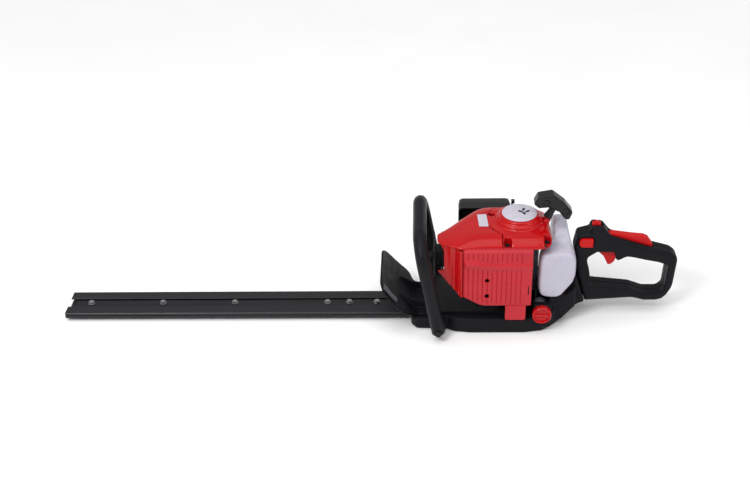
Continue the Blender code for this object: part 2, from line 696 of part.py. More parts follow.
def make_crankshaft():
    """The shaft with one web above the rod; its pin stops short of the rod's big end."""
    low = DRUM_BOTTOM_Z + 0.003 + GAP
    rod_top = CYLINDER_Z + 0.0040
    web_low = rod_top + 0.0012
    lower = rod(SHAFT_RADIUS - 0.001, low, DRUM_BOTTOM_Z + DRUM_HEIGHT + 0.001, "Z", (0.0, 0.0), 20)
    journal = rod(SHAFT_RADIUS, DRUM_BOTTOM_Z + DRUM_HEIGHT, CYLINDER_Z - 0.0060, "Z", (0.0, 0.0), 20)
    web_top = web_low + WEB_SHEET
    # the two halves of the shaft are joined through the counterweight web
    upper = rod(SHAFT_RADIUS, web_top - 0.001, FLYWHEEL_Z + 0.038, "Z", (0.0, 0.0), 20)
    web = rod(WEB_RADIUS, web_low, web_top, "Z", (0.0, 0.0), 24)
    pin = rod(0.0040, web_low - 0.0009, web_low + 0.001, "Z", (-CRANK_RADIUS, 0.0), 16)
    shaft = join(upper, web, pin)
    # the web's light side
    notch = plate(rounded([(-0.032, -0.032), (-0.004, -0.032), (-0.010, -0.012, 0.004), (-0.032, -0.012)], 3),
                  web_low - 0.002, web_top + 0.002)
    notch_far = plate(rounded([(-0.032, 0.012), (-0.010, 0.012, 0.004), (-0.004, 0.032), (-0.032, 0.032)], 3),
                      web_low - 0.002, web_top + 0.002)
    shaft = cut(shaft, notch, notch_far)
    return [finish(shaft, "crankshaft", STEEL), finish(join(journal, lower), "clutch_shaft", STEEL)]


def make_piston():
    """The piston at the top of its stroke, with its pin across the hollow."""
    radius = BORE_RADIUS - GAP
    crown = PISTON_PIN_X - CROWN_HEIGHT
    skirt = PISTON_PIN_X + SKIRT_HEIGHT
    piston = rod(radius, crown, skirt, "X", (0.0, CYLINDER_Z), 20)
    hollow = rod(radius - 0.0025, crown + 0.0040, skirt + 0.002, "X", (0.0, CYLINDER_Z), 20)
    reach = radius - 0.0015
    pin = rod(PISTON_PIN_RADIUS, CYLINDER_Z - reach, CYLINDER_Z + reach, "Z", (PISTON_PIN_X, 0.0), 12)
    return finish(join(cut(piston, hollow), pin), "piston", ALLOY)


def make_connecting_rod():
    """The rod from the piston's pin to the crank; both ends have clearance on their pins."""
    low = CYLINDER_Z - 0.0040
    high = CYLINDER_Z + 0.0040
    big = rod(0.0085, low, high, "Z", (-CRANK_RADIUS, 0.0), 20)
    small = rod(0.0065, low, high, "Z", (PISTON_PIN_X, 0.0), 16)
    beam = box((PISTON_PIN_X, -0.0035, low + 0.001), (-CRANK_RADIUS, 0.0035, high - 0.001))
    link_rod = join(big, beam, small)
    link_rod = cut(link_rod, rod(0.0044, low - 0.002, high + 0.002, "Z", (-CRANK_RADIUS, 0.0), 16))
    eye = PISTON_PIN_RADIUS + GAP
    link_rod = cut(link_rod, rod(eye, low - 0.002, high + 0.002, "Z", (PISTON_PIN_X, 0.0), 12))
    return finish(link_rod, "connecting_rod", STEEL)


def make_cylinder():
    start = CYLINDER_END_X
    end = -CRANKCASE_RADIUS - 0.001 - GAP
    outer = BORE_RADIUS + CYLINDER_WALL
    head = PISTON_PIN_X - CROWN_HEIGHT - 0.0040
    barrel = rod(outer, start, end, "X", (0.0, CYLINDER_Z), 16)
    flange = box((end - 0.004, -0.025, CYLINDER_Z - 0.025), (end, 0.025, CYLINDER_Z + 0.022))
    barrel = join(barrel, flange)
    half = FIN_SIZE / 2.0
    pitch = (end - 0.012 - start) / FIN_COUNT
    for index in range(FIN_COUNT):
        place = start + 0.001 + index * pitch
        shape = rounded([(-half, CYLINDER_Z - half, 0.018), (half, CYLINDER_Z - half, 0.018),
                         (half, CYLINDER_Z + half, 0.018), (-half, CYLINDER_Z + half, 0.018)], 1)
        barrel = join(barrel, plate(shape, place, place + FIN_SHEET, "YZ"))
    bore = rod(BORE_RADIUS, head, end + 0.002, "X", (0.0, CYLINDER_Z), 20)
    plug_hole = rod(0.0062, start - 0.002, head + 0.002, "X", (0.0, CYLINDER_Z), 16)
    intake = box((-0.078, 0.010, CYLINDER_Z - 0.011), (-0.058, 0.0402, CYLINDER_Z + 0.011))
    exhaust = box((-0.080, -0.0402, CYLINDER_Z - 0.011), (-0.056, -0.010, CYLINDER_Z + 0.011))
    pads = [box((-0.0843, 0.018, CYLINDER_Z - 0.0173), (-0.0518, 0.0387, CYLINDER_Z + 0.0173)),
            box((-0.0863, -0.0387, CYLINDER_Z - 0.0171), (-0.0498, -0.018, CYLINDER_Z + 0.0171))]
    barrel = join(barrel, *pads)
    barrel = cut(barrel, bore, plug_hole, intake, exhaust)
    return finish(barrel, "cylinder", IRON)


def make_spark_plug():
    start = CYLINDER_END_X
    profile = [(0.0, 0.0300), (0.0022, 0.0300), (0.0022, 0.0260), (0.0042, 0.0250), (0.0042, 0.0120),
               (0.0078, 0.0110), (0.0078, 0.0003), (0.0058, 0.0003), (0.0058, -0.0150), (0.0, -0.0150)]
    plug = turned(profile, "Z", (0.0, 0.0, 0.0), 16)
    turn = Matrix.Rotation(math.radians(-90.0), 4, "Y")
    moved(plug, Matrix.Translation((start, 0.0, CYLINDER_Z)) @ turn)
    return finish(plug, "spark_plug", CERAMIC)


def make_plug_cap():
    start = CYLINDER_END_X
    boot = rod(0.0085, start - 0.0300, start - 0.0120, "X", (0.0, CYLINDER_Z), 20)
    elbow = rod(0.0055, CYLINDER_Z - 0.001, CYLINDER_Z + 0.0200, "Z", (start - 0.0215, 0.0), 16)
    top = rod(0.0088, start - 0.0335, start - 0.0290, "X", (0.0, CYLINDER_Z), 20)
    cap = join(boot, top, elbow)
    hollow = rod(0.0042 + GAP, start - 0.0306, start - 0.0100, "X", (0.0, CYLINDER_Z), 16)
    return finish(cut(cap, hollow), "plug_cap", RUBBER)


def make_muffler():
    near = SIDE_FACE_Y + COVER_SHEET + 0.0080
    far = -0.0390 - GAP
    high = CYLINDER_Z + 0.028
    body = plate([(-0.096, high), (-0.096, 0.0900), (-0.0760, 0.0752), (-0.034, 0.0752), (-0.034, high)],
                 near, far - 0.006, "XZ")
    chamber = plate([(-0.0935, high - 0.0025), (-0.0935, 0.0920), (-0.0750, 0.0780), (-0.0365, 0.0780),
                     (-0.0365, high - 0.0025)], near + 0.0025, far - 0.0085, "XZ")
    body = cut(body, chamber)
    stub = box((-0.084, far - 0.007, CYLINDER_Z - 0.015), (-0.052, far, CYLINDER_Z + 0.015))
    pipe = rod(0.0055, near - 0.0025, near + 0.0015, "Y", (-0.0605, 0.0852), 16)
    body = join(body, stub, pipe)
    body = cut(body, rod(0.0040, near - 0.010, near + 0.006, "Y", (-0.0605, 0.0852), 16))
    return finish(body, "muffler", STEEL)


def make_flywheel():
    """A disc with straight fan blades and a hub."""
    low = FLYWHEEL_Z
    disc = turned([(FLYWHEEL_RADIUS, low + 0.0045), (FLYWHEEL_RADIUS, low), (0.0, low), (0.0, low + 0.0100),
                   (0.0130, low + 0.0100), (0.0140, low + 0.0045)], "Z", (0.0, 0.0, 0.0), 28)
    for index in range(FLYWHEEL_BLADES):
        angle = 2.0 * math.pi * index / FLYWHEEL_BLADES
        blade = box((0.0220, -0.0009, low + 0.0040), (FLYWHEEL_RADIUS - 0.001, 0.0009, low + FLYWHEEL_HEIGHT))
        moved(blade, Matrix.Rotation(angle, 4, "Z") @ Matrix.Translation((0.0, 0.004, 0.0)))
        disc = join(disc, blade)
    disc = cut(disc, rod(SHAFT_RADIUS + GAP, low - 0.002, low + 0.020, "Z", (0.0, 0.0), 20))
    return finish(disc, "flywheel", ALLOY)


def make_ignition_coil():
    reach = FLYWHEEL_RADIUS + 0.0008
    coil = box((-0.012, -reach - 0.0180, FLYWHEEL_Z + 0.0002), (0.012, -reach, FLYWHEEL_Z + 0.0120), 0.001, 1)
    return finish(coil, "ignition_coil", IRON)


# ---------------------------------------------------------------- starter
def screw_places():
    """The recoil housing's three screws, with the height of the pad under each head."""
    pad = COVER_RIM_Z + 0.0010
    return ((-0.0492, 0.0190, COVER_TOP_Z - 0.0085), (-0.0246, -0.0648, pad), (0.0465, -0.0550, pad))


def seam_outline(grow):
    """Plan of the recoil housing: the right end of the cover and a round flange at its left."""
    seam = -0.0330 - grow
    radius = FLANGE_RADIUS + grow
    start = math.atan2(-math.sqrt(radius ** 2 - seam ** 2), seam)
    points = [(seam, -0.12), (0.12, -0.12), (0.12, 0.12), (seam, 0.12)]
    sweep = 2.0 * math.pi + start - math.radians(124.0)
    for step in range(13):
        angle = math.radians(124.0) + sweep * step / 12.0
        points.append((radius * math.cos(angle), radius * math.sin(angle)))
    return points


def make_recoil_housing():
    """The stepped dome over the rope reel, on the right end of the engine's cover."""
    low = COVER_RIM_Z + 0.0010
    top = STARTER_TOP_Z
    r = STARTER_RADIUS
    profile = [(0.0, top), (0.0345, top), (0.0362, top - 0.0015), (0.0380, top - 0.0060),
               (0.0425, top - 0.0072), (0.0442, top - 0.0120), (r, top - 0.0135), (r, low),
               (r - 0.0025, low), (r - 0.0025, top - 0.0160), (0.0400, top - 0.0145),
               (0.0356, top - 0.0085), (0.0340, top - 0.0026), (0.0, top - 0.0026)]
    dome = turned(profile, "Z", (0.0, 0.0, 0.0), 32)
    shell = cut(cover_shell(), rod(r - 0.0010, COVER_RIM_Z - 0.03, STARTER_TOP_Z, "Z", (0.0, 0.0), 32))
    shell = common(shell, plate(seam_outline(0.0), COVER_RIM_Z - 0.03, STARTER_TOP_Z + 0.02))
    housing = join(shell, dome)
    turn = Matrix.Translation(GRIP_BASE) @ Matrix.Rotation(GRIP_TILT, 4, "Y")
    boss = moved(rod(0.0085, -0.0200, -GAP, "Z", (0.0, 0.0), 16), turn)
    boss = cut(boss, rod(r - 0.0013, low - 0.02, top + 0.02, "Z", (0.0, 0.0), 32))
    housing = join(housing, boss)
    # a well for each screw, clipped just under the crown's own surface
    for x, y, pad in screw_places():
        column = rod(0.0085, pad - 0.0030, STARTER_TOP_Z, "Z", (x, y), 16)
        column = common(column, loft(cover_rings(0.0006, False)))
        column = common(column, plate(seam_outline(-0.0004), 0.1, 0.3))
        housing = join(housing, column)
        recess = join(rod(0.0062, pad, pad + 0.0300, "Z", (x, y), 16),
                      rod(0.0027, pad - 0.02, pad + 0.001, "Z", (x, y), 10))
        housing = cut(housing, recess)
    housing = cut(housing, moved(rod(0.0025, -0.0300, 0.004, "Z", (0.0, 0.0), 12), turn))
    return finish(housing, "recoil_housing", RED)


def make_starter_screws():
    made = []
    for index, (x, y, pad) in enumerate(screw_places()):
        head = pad + GAP
        profile = [(0.0, head + 0.0032), (0.0034, head + 0.0032), (0.0042, head + 0.0020), (0.0042, head),
                   (0.0024, head), (0.0024, head - 0.0080), (0.0, head - 0.0080)]
        screw = turned(profile, "Z", (x, y, 0.0), 12)
        made.append(finish(screw, f"starter_screw_{index + 1}", IRON))
    return made


def make_starter_badge():
    low = STARTER_TOP_Z + GAP
    badge = rod(BADGE_RADIUS, low, low + BADGE_SHEET, "Z", (0.0, 0.0), 32)
    return finish(badge, "starter_badge", SILVER)


def make_starter_reel():
    """The rope reel under the dome, with its groove and pawl hub."""
    high = STARTER_TOP_Z - 0.0118
    low = high - 0.0100
    reel = turned([(REEL_RADIUS, high), (REEL_RADIUS, high - 0.0018), (REEL_RADIUS - 0.005, high - 0.0030),
                   (REEL_RADIUS - 0.005, low + 0.0030), (REEL_RADIUS, low + 0.0018), (REEL_RADIUS, low),
                   (0.0075, low), (0.0075, high)], "Z", (0.0, 0.0, 0.0), 24)
    return finish(reel, "rope_reel", BLACK)


def make_recoil_spring():
    """The flat spiral spring between the reel and the dome."""
    low = STARTER_TOP_Z - 0.0118 + GAP
    turns = 4.5
    steps = 45
    points = []
    for step in range(steps + 1):
        angle = 2.0 * math.pi * turns * step / steps
        radius = 0.0100 + 0.0220 * step / steps
        points.append((radius * math.cos(angle), radius * math.sin(angle)))
    outer = [(x * (1.0 + 0.0005 / math.hypot(x, y)), y * (1.0 + 0.0005 / math.hypot(x, y))) for x, y in points]
    inner = [(x * (1.0 - 0.0005 / math.hypot(x, y)), y * (1.0 - 0.0005 / math.hypot(x, y))) for x, y in points]
    strip = plate(outer + list(reversed(inner)), low, STARTER_TOP_Z - 0.0036)
    return finish(strip, "recoil_spring", STEEL)


def make_starter_grip():
    """A T-shaped grip on a short neck, in its own axes: the pull is along local +Z."""
    bar = rounded([(-0.0380, 0.0160, 0.003), (-0.0260, 0.0130, 0.003), (-0.0110, 0.0225, 0.006),
                   (0.0110, 0.0225, 0.006), (0.0270, 0.0140, 0.004), (0.0350, 0.0170, 0.004),
                   (0.0330, 0.0330, 0.005), (0.0110, 0.0430, 0.006), (-0.0170, 0.0490, 0.005),
                   (-0.0380, 0.0330, 0.005)], 2)
    grip = plate(bar, -0.0125, 0.0125, "XZ", 0.0030, 1)
    neck = turned([(0.0, 0.0300), (0.0065, 0.0300), (0.0065, 0.0120), (0.0082, 0.0020), (0.0082, 0.0),
                   (0.0, 0.0)], "Z", (0.0, 0.0, 0.0), 20)
    grip = join(grip, neck)
    for place in (-0.020, 0.020):
        grip = cut(grip, box((place - 0.006, -0.0140, 0.0240), (place + 0.006, -0.0100, 0.0340)))
    turn = Matrix.Rotation(GRIP_TILT, 4, "Y")
    moved(grip, Matrix.Translation(GRIP_BASE) @ turn)
    return finish(grip, "starter_grip", BLACK)


# ---------------------------------------------------------------- covers
def cover_outline(grow):
    """The top cover's rim seen from above: a nose over the cylinder, round at the starter."""
    near = COVER_NEAR_Y - grow
    far = COVER_FAR_Y + grow
    tip = COVER_TIP_X - grow
    right = 0.0560 + grow
    return rounded([(tip, -0.052, 0.006), (tip + 0.040, near, 0.012), (right, near, 0.026),
                    (right, far, 0.045), (-0.070, far - 0.004, 0.040), (tip, -0.020, 0.010)], 3)


def cover_rings(grow, drop):
    """Rings of the top cover from its rim to its crown."""
    outline = cover_outline(-grow)
    centre = Vector((-0.018, -0.004))
    height = COVER_TOP_Z - COVER_RIM_Z
    levels = [(COVER_RIM_Z - 0.020 if drop else COVER_RIM_Z, 1.0, 1.0), (COVER_RIM_Z + height * 0.30, 1.0, 0.995),
              (COVER_RIM_Z + height * 0.62, 0.975, 0.93), (COVER_RIM_Z + height * 0.85, 0.92, 0.80),
              (COVER_TOP_Z - grow * 0.2, 0.82, 0.60)]
    rings = []
    for height_z, share_x, share_y in levels:
        ring = []
        for x, y in outline:
            ring.append((centre.x + (x - centre.x) * share_x, centre.y + (y - centre.y) * share_y,
                         height_z - (grow if not drop or height_z > COVER_RIM_Z else 0.0)))
        rings.append(ring)
    return rings


def cover_shell():
    """The whole crowned shell before it is split into cover and recoil housing."""
    return cut(loft(cover_rings(0.0, False)), loft(cover_rings(COVER_SHEET, True)))


def make_top_cover():
    shell = cut(cover_shell(), plate(seam_outline(GAP), COVER_RIM_Z - 0.03, STARTER_TOP_Z + 0.02))
    return finish(shell, "top_cover", RED)


def side_outline(inset, top):
    """The ribbed side cover's face, shrunk by an inset; its upper edge is at the given height."""
    left = SIDE_LEFT_X + inset
    right = SIDE_RIGHT_X - inset
    low = SIDE_BOTTOM_Z + inset
    return rounded([(left, top), (left, low + 0.018, 0.004), (left + 0.028, low + 0.0035, 0.01),
                    (-0.046, low, 0.02), (right, low), (right, top)], 2)


def make_side_cover():
    sheet = COVER_SHEET
    face = plate(side_outline(0.0, SIDE_TOP_Z), SIDE_FACE_Y, SIDE_FACE_Y + SIDE_DEPTH, "XZ")
    inner = plate(side_outline(sheet, SIDE_TOP_Z + 0.003), SIDE_FACE_Y + sheet, SIDE_FACE_Y + SIDE_DEPTH + 0.01, "XZ")
    face = cut(face, inner)
    # vertical grooves above and below the smooth bulge
    count = int((SIDE_RIGHT_X - SIDE_LEFT_X - 0.012) / RIB_PITCH)
    for index in range(count):
        place = SIDE_RIGHT_X - 0.0070 - index * RIB_PITCH
        for low, high in ((SIDE_TOP_Z - 0.0215, SIDE_TOP_Z - 0.0030), (SIDE_BOTTOM_Z + 0.0200, SIDE_TOP_Z - 0.0400)):
            groove = box((place - RIB_GROOVE / 2.0, SIDE_FACE_Y - 0.001, low),
                         (place + RIB_GROOVE / 2.0, SIDE_FACE_Y + RIB_DEPTH, high))
            face = cut(face, groove)
    for height in (0.1186, 0.0845):
        face = cut(face, rod(HOLE_RADIUS, SIDE_FACE_Y - 0.002, SIDE_FACE_Y + 0.006, "Y", (-0.0605, height), 16))
    slot = box((0.0137, SIDE_FACE_Y - 0.002, 0.088), (0.0153, SIDE_FACE_Y + 0.006, 0.107))
    tab = box((-0.0280, SIDE_FACE_Y + 0.0002, BASE_RIM_Z + 0.0004),
              (0.0130, SIDE_FACE_Y + sheet - 0.0002, SIDE_BOTTOM_Z + 0.0010))
    face = join(cut(face, slot), tab)
    return finish(face, "side_cover", RED)


def make_front_deflector():
    """The flared sheet that closes the gap between the side cover and the nose."""
    sheet = COVER_SHEET
    line = [(SIDE_LEFT_X - GAP, SIDE_FACE_Y + 0.0005), (-0.1110, -0.0790), (-0.1180, -0.0700),
            (-0.1260, -0.0625), (-0.1380, -0.0560), (-0.1520, -0.0500)]
    inner = [(x + sheet * 0.55, y + sheet) for x, y in line[1:]]
    inner.insert(0, (SIDE_LEFT_X - GAP, SIDE_FACE_Y + sheet + 0.0010))
    strip = plate(line + list(reversed(inner)), 0.040, COVER_RIM_Z - 0.0007)
    outline = [(-0.1480, 0.1850), (-0.1380, 0.1660), (-0.1380, 0.1250), (-0.1500, 0.1205), (-0.1290, 0.0975),
               (-0.1080, 0.0815), (-0.1040, 0.0800), (-0.1040, 0.1850)]
    window = plate(outline, -0.100, -0.040, "XZ")
    return finish(common(strip, window), "front_deflector", RED)


# ---------------------------------------------------------------- carburettor and air cleaner
def make_carburettor():
    near = 0.0390 + GAP
    far = AIR_NEAR_Y - GAP
    body = box((-0.086, near + 0.010, CYLINDER_Z - 0.018), (-0.050, far, CYLINDER_Z + 0.018), 0.002, 1)
    spacer = box((-0.084, near, CYLINDER_Z - 0.016), (-0.052, near + 0.011, CYLINDER_Z + 0.016))
    body = join(body, spacer)
    body = cut(body, rod(0.0080, near - 0.002, far + 0.002, "Y", (-0.068, CYLINDER_Z), 20))
    body = cut(body, rod(0.0030 + GAP, CYLINDER_Z + 0.0090, CYLINDER_Z + 0.020, "Z", (-0.068, near + 0.0230), 16))
    bowl = rod(0.0130, CYLINDER_Z - 0.0230, CYLINDER_Z - 0.0170, "Z", (-0.068, near + 0.0220), 20)
    return finish(join(body, bowl), "carburettor", ALLOY)


def throttle_axis():
    return (-0.068, 0.0390 + GAP + 0.0230)


def make_throttle_arm():
    """The arm on the carburettor's shaft that the throttle cable pulls."""
    centre = throttle_axis()
    low = CYLINDER_Z + 0.0180 + GAP
    shaft = rod(0.0030, CYLINDER_Z + 0.0095, low + 0.0040, "Z", centre, 16)
    arm = box((centre[0], centre[1] - 0.0030, low), (centre[0] + 0.0170, centre[1] + 0.0030, low + 0.0020))
    end = rod(0.0040, low, low + 0.0050, "Z", (centre[0] + 0.0160, centre[1]), 16)
    return finish(join(arm, shaft, end), "throttle_arm", STEEL)


def make_air_case():
    """The air cleaner's backplate with a rim that faces the engine."""
    near = AIR_NEAR_Y
    far = near + AIR_CASE_DEPTH
    corners = rounded([(AIR_LEFT_X, AIR_BOTTOM_Z, 0.006), (AIR_RIGHT_X, AIR_BOTTOM_Z, 0.006),
                       (AIR_RIGHT_X, AIR_TOP_Z, 0.006), (AIR_LEFT_X, AIR_TOP_Z, 0.006)], 3)
    case = plate(corners, near - AIR_RIM_DEPTH, far, "XZ")
    wall = 0.0028
    inner = rounded([(AIR_LEFT_X + wall, AIR_BOTTOM_Z + wall, 0.004), (AIR_RIGHT_X - wall, AIR_BOTTOM_Z + wall, 0.004),
                     (AIR_RIGHT_X - wall, AIR_TOP_Z - wall, 0.004), (AIR_LEFT_X + wall, AIR_TOP_Z - wall, 0.004)], 3)
    case = cut(case, plate(inner, near - 0.0200, near, "XZ"))
    case = cut(case, plate(inner, near + 0.0030, far + 0.005, "XZ"))
    case = cut(case, rod(0.0080, near - 0.004, near + 0.006, "Y", (-0.068, CYLINDER_Z + 0.0001), 20))
    # room for the carburettor in the rim that faces the engine
    case = cut(case, box((-0.0895, near - 0.0200, CYLINDER_Z - 0.026), (-0.0465, near - 0.00001, CYLINDER_Z + 0.026)))
    return finish(case, "air_filter_case", BLACK)


def make_air_element():
    near = AIR_NEAR_Y + 0.0030 + GAP
    far = AIR_NEAR_Y + AIR_CASE_DEPTH + 0.0080
    inset = 0.0050
    pad = box((AIR_LEFT_X + inset, near, AIR_BOTTOM_Z + inset), (AIR_RIGHT_X - inset, far, AIR_TOP_Z - inset), 0.002, 1)
    pad = cut(pad, rod(0.0045, near - 0.002, far + 0.002, "Y", knob_centre(), 16))
    return finish(pad, "air_filter_element", FOAM)


def knob_centre():
    return ((AIR_LEFT_X + AIR_RIGHT_X) / 2.0, (AIR_BOTTOM_Z + AIR_TOP_Z) / 2.0 + 0.010)


def make_air_cover():
    near = AIR_NEAR_Y + AIR_CASE_DEPTH + GAP
    far = near + AIR_COVER_DEPTH
    wall = 0.0025

    def ring(inset, y, corner):
        points = rounded([(AIR_LEFT_X + inset, AIR_BOTTOM_Z + inset, corner), (AIR_RIGHT_X - inset, AIR_BOTTOM_Z + inset, corner),
                          (AIR_RIGHT_X - inset, AIR_TOP_Z - inset, corner), (AIR_LEFT_X + inset, AIR_TOP_Z - inset, corner)], 3)
        return [(x, y, z) for x, z in points]

    outer = loft([ring(0.0, near, 0.006), ring(0.0015, far - 0.008, 0.006), ring(0.004, far - 0.002, 0.006),
                  ring(0.008, far, 0.005)])
    inner = loft([ring(wall, near - 0.002, 0.004), ring(wall + 0.0015, far - 0.009, 0.004),
                  ring(wall + 0.006, far - wall, 0.004)])
    cover = cut(outer, inner)
    cover = cut(cover, rod(0.0035 + GAP, far - 0.010, far + 0.005, "Y", knob_centre(), 16))
    return finish(cover, "air_filter_cover", BLACK)


def make_air_knob():
    """The knob that holds the air cleaner's cover, with a round grip and a cross bar."""
    far = AIR_NEAR_Y + AIR_CASE_DEPTH + GAP + AIR_COVER_DEPTH
    centre = knob_centre()
    head = rod(0.0110, far + GAP, far + 0.0080, "Y", centre, 24, 0.0095)
    stem = rod(0.0035, far - 0.0170, far + 0.001, "Y", centre, 16)
    bar = box((centre[0] - 0.0090, far + 0.0070, centre[1] - 0.0018), (centre[0] + 0.0090, far + 0.0105, centre[1] + 0.0018),
              0.0006, 1)
    return finish(join(head, stem, bar), "air_cleaner_knob", BLACK)


def choke_pivot():
    """Where the choke lever turns, on the case's right end face."""
    return (AIR_NEAR_Y + 0.006, AIR_TOP_Z - 0.030)


def make_choke_lever():
    """A lever on the case's end face; its tip stands above the air cleaner."""
    start = AIR_RIGHT_X + GAP
    y, z = choke_pivot()
    hub = rod(0.0055, start, start + 0.0040, "X", (y, z), 20)
    arm = box((start, y - 0.0030, z), (start + 0.0030, y + 0.0030, AIR_TOP_Z + 0.0040), 0.0006, 1)
    knob = rod(0.0045, start, start + 0.0060, "X", (y, AIR_TOP_Z + 0.0055), 16)
    return finish(join(arm, hub, knob), "choke_lever", BLACK)


# ---------------------------------------------------------------- fuel tank
def tank_ring(y, left, right, low, high, corner):
    """One section of the tank, a rounded box with a cut-back lower right corner."""
    points = rounded([(left, low + 0.006, corner), (left + 0.012, low, corner), (right - 0.022, low, corner * 2.0),
                      (right, low + 0.030, corner * 2.0), (right, high - 0.030, corner), (right - 0.009, high, corner),
                      (left, high, corner)], 2)
    return [(x, y, z) for x, z in points]


def tank_rings(inset):
    near = TANK_NEAR_Y
    far = TANK_FAR_Y
    low = TANK_BOTTOM_Z
    top = TANK_TOP_Z
    sections = [(near, 0.0030, 0.0365, 0.1010, low, top - 0.006), (near + 0.0030, 0.0, 0.0365, 0.1010, low, top - 0.004),
                (-0.0280, 0.0, 0.0365, 0.1010, low, top), (-0.0235, 0.0, 0.0430, 0.0960, low, top),
                (0.0100, 0.0, 0.0480, 0.0920, low + 0.002, top), (0.0300, 0.0, 0.0480, 0.0860, low + 0.006, top - 0.002),
                (far - 0.005, 0.0, 0.0500, 0.0820, low + 0.010, top - 0.004), (far, 0.0050, 0.0500, 0.0820, low + 0.010, top - 0.004)]
    rings = []
    for y, tuck, left, right, bottom, high in sections:
        y = min(max(y, near + inset), far - inset)
        d = inset + tuck
        rings.append(tank_ring(y, left + d, right - d, bottom + d, high - d, 0.0055))
    return rings


def make_fuel_tank():
    outer = loft(tank_rings(0.0))
    inner = loft(tank_rings(TANK_WALL)[1:-1])
    x, z = CAP_CENTRE
    half = NECK_RADIUS
    foot = box((x - half, -0.0600, z - half), (x + half - 0.0004, -0.0400, TANK_BOTTOM_Z + 0.0010))
    neck = rod(NECK_RADIUS, -0.0775, -0.0500, "Y", CAP_CENTRE, 20)
    tank = join(outer, foot, neck)
    bore = rod(NECK_RADIUS - 0.0022, -0.0800, -0.0460, "Y", CAP_CENTRE, 20)
    well = box((x - half + 0.0022, -0.0570, z - 0.0080), (x + half - 0.0028, -0.0430, TANK_BOTTOM_Z + 0.0120))
    tank = cut(tank, bore, well, inner)
    return finish(tank, "fuel_tank", MILKY, 45.0)


def make_fuel_cap():
    """A screw cap with a raised finger bar, closed over the filler neck's end."""
    x, z = CAP_CENTRE
    back = -0.0775 - GAP
    profile = [(0.0, CAP_DEPTH - 0.0030), (CAP_RADIUS - 0.0040, CAP_DEPTH - 0.0030), (CAP_RADIUS - 0.0032, CAP_DEPTH),
               (CAP_RADIUS - 0.0012, CAP_DEPTH), (CAP_RADIUS, CAP_DEPTH - 0.0014), (CAP_RADIUS, 0.0),
               (NECK_RADIUS - 0.0026, 0.0), (NECK_RADIUS - 0.0026, -0.0080), (0.0, -0.0080)]
    cap = turned(profile, "Z", (0.0, 0.0, 0.0), 24)
    bar = box((-CAP_RADIUS + 0.0036, -0.0026, CAP_DEPTH - 0.0040), (CAP_RADIUS - 0.0036, 0.0026, CAP_DEPTH - 0.0002),
              0.0008, 1)
    cap = join(cap, bar)
    turn = Matrix.Rotation(math.radians(90.0), 4, "X")
    moved(cap, Matrix.Translation((x, back, z)) @ turn)
    return finish(cap, "fuel_cap", RED)


# ---------------------------------------------------------------- front handle and guard
def make_front_handle():
    """The tube loop over the blade's root: two legs and a top bar with round bends."""
    half = LOOP_HALF_WIDTH
    top_x, top_z = LOOP_TOP
    foot_x, foot_z = LOOP_FOOT
    lean = Vector((top_x - foot_x, 0.0, top_z - foot_z)).normalized()
    corner = Vector((top_x, -half, top_z))
    points = [Vector((foot_x, -half, foot_z))]
    for share in (0.33, 0.66):
        points.append(Vector((foot_x, -half, foot_z)).lerp(corner - lean * LOOP_BEND, share))
    centre = corner - lean * LOOP_BEND + Vector((0.0, LOOP_BEND, 0.0))
    for step in range(7):
        angle = math.radians(90.0 * step / 6.0)
        points.append(centre + lean * LOOP_BEND * math.sin(angle) - Vector((0.0, LOOP_BEND * math.cos(angle), 0.0)))
    points.append(Vector((top_x, 0.0, top_z)))
    other = [Vector((point.x, -point.y, point.z)) for point in reversed(points[:-1])]
    loop = tube([tuple(point) for point in points + other], TUBE_RADIUS, 3)
    for sign in (-1.0, 1.0):
        start, end = sorted((sign * (half - 0.03), sign * (half + 0.03)))
        loop = cut(loop, rod(0.0033 + GAP, start, end, "Y", (handle_bolt_x(), HANDLE_BOLT_Z), 12))
    return finish(loop, "front_handle", BLACK)


def make_handle_bolt(name, sign):
    """The bolt through the handle's foot into the base frame's lug."""
    outer = LOOP_HALF_WIDTH + TUBE_RADIUS + GAP
    inner = LOOP_HALF_WIDTH - TUBE_RADIUS - GAP - 0.0170
    profile = [(0.0, outer + 0.0035), (0.0050, outer + 0.0035), (0.0062, outer + 0.0015), (0.0062, outer),
               (0.0033, outer), (0.0033, inner), (0.0, inner)]
    bolt = turned(profile, "Z", (0.0, 0.0, 0.0), 16)
    turn = Matrix.Rotation(math.radians(90.0 if sign < 0.0 else -90.0), 4, "X")
    moved(bolt, Matrix.Translation((handle_bolt_x(), 0.0, HANDLE_BOLT_Z)) @ turn)
    return finish(bolt, name, IRON)


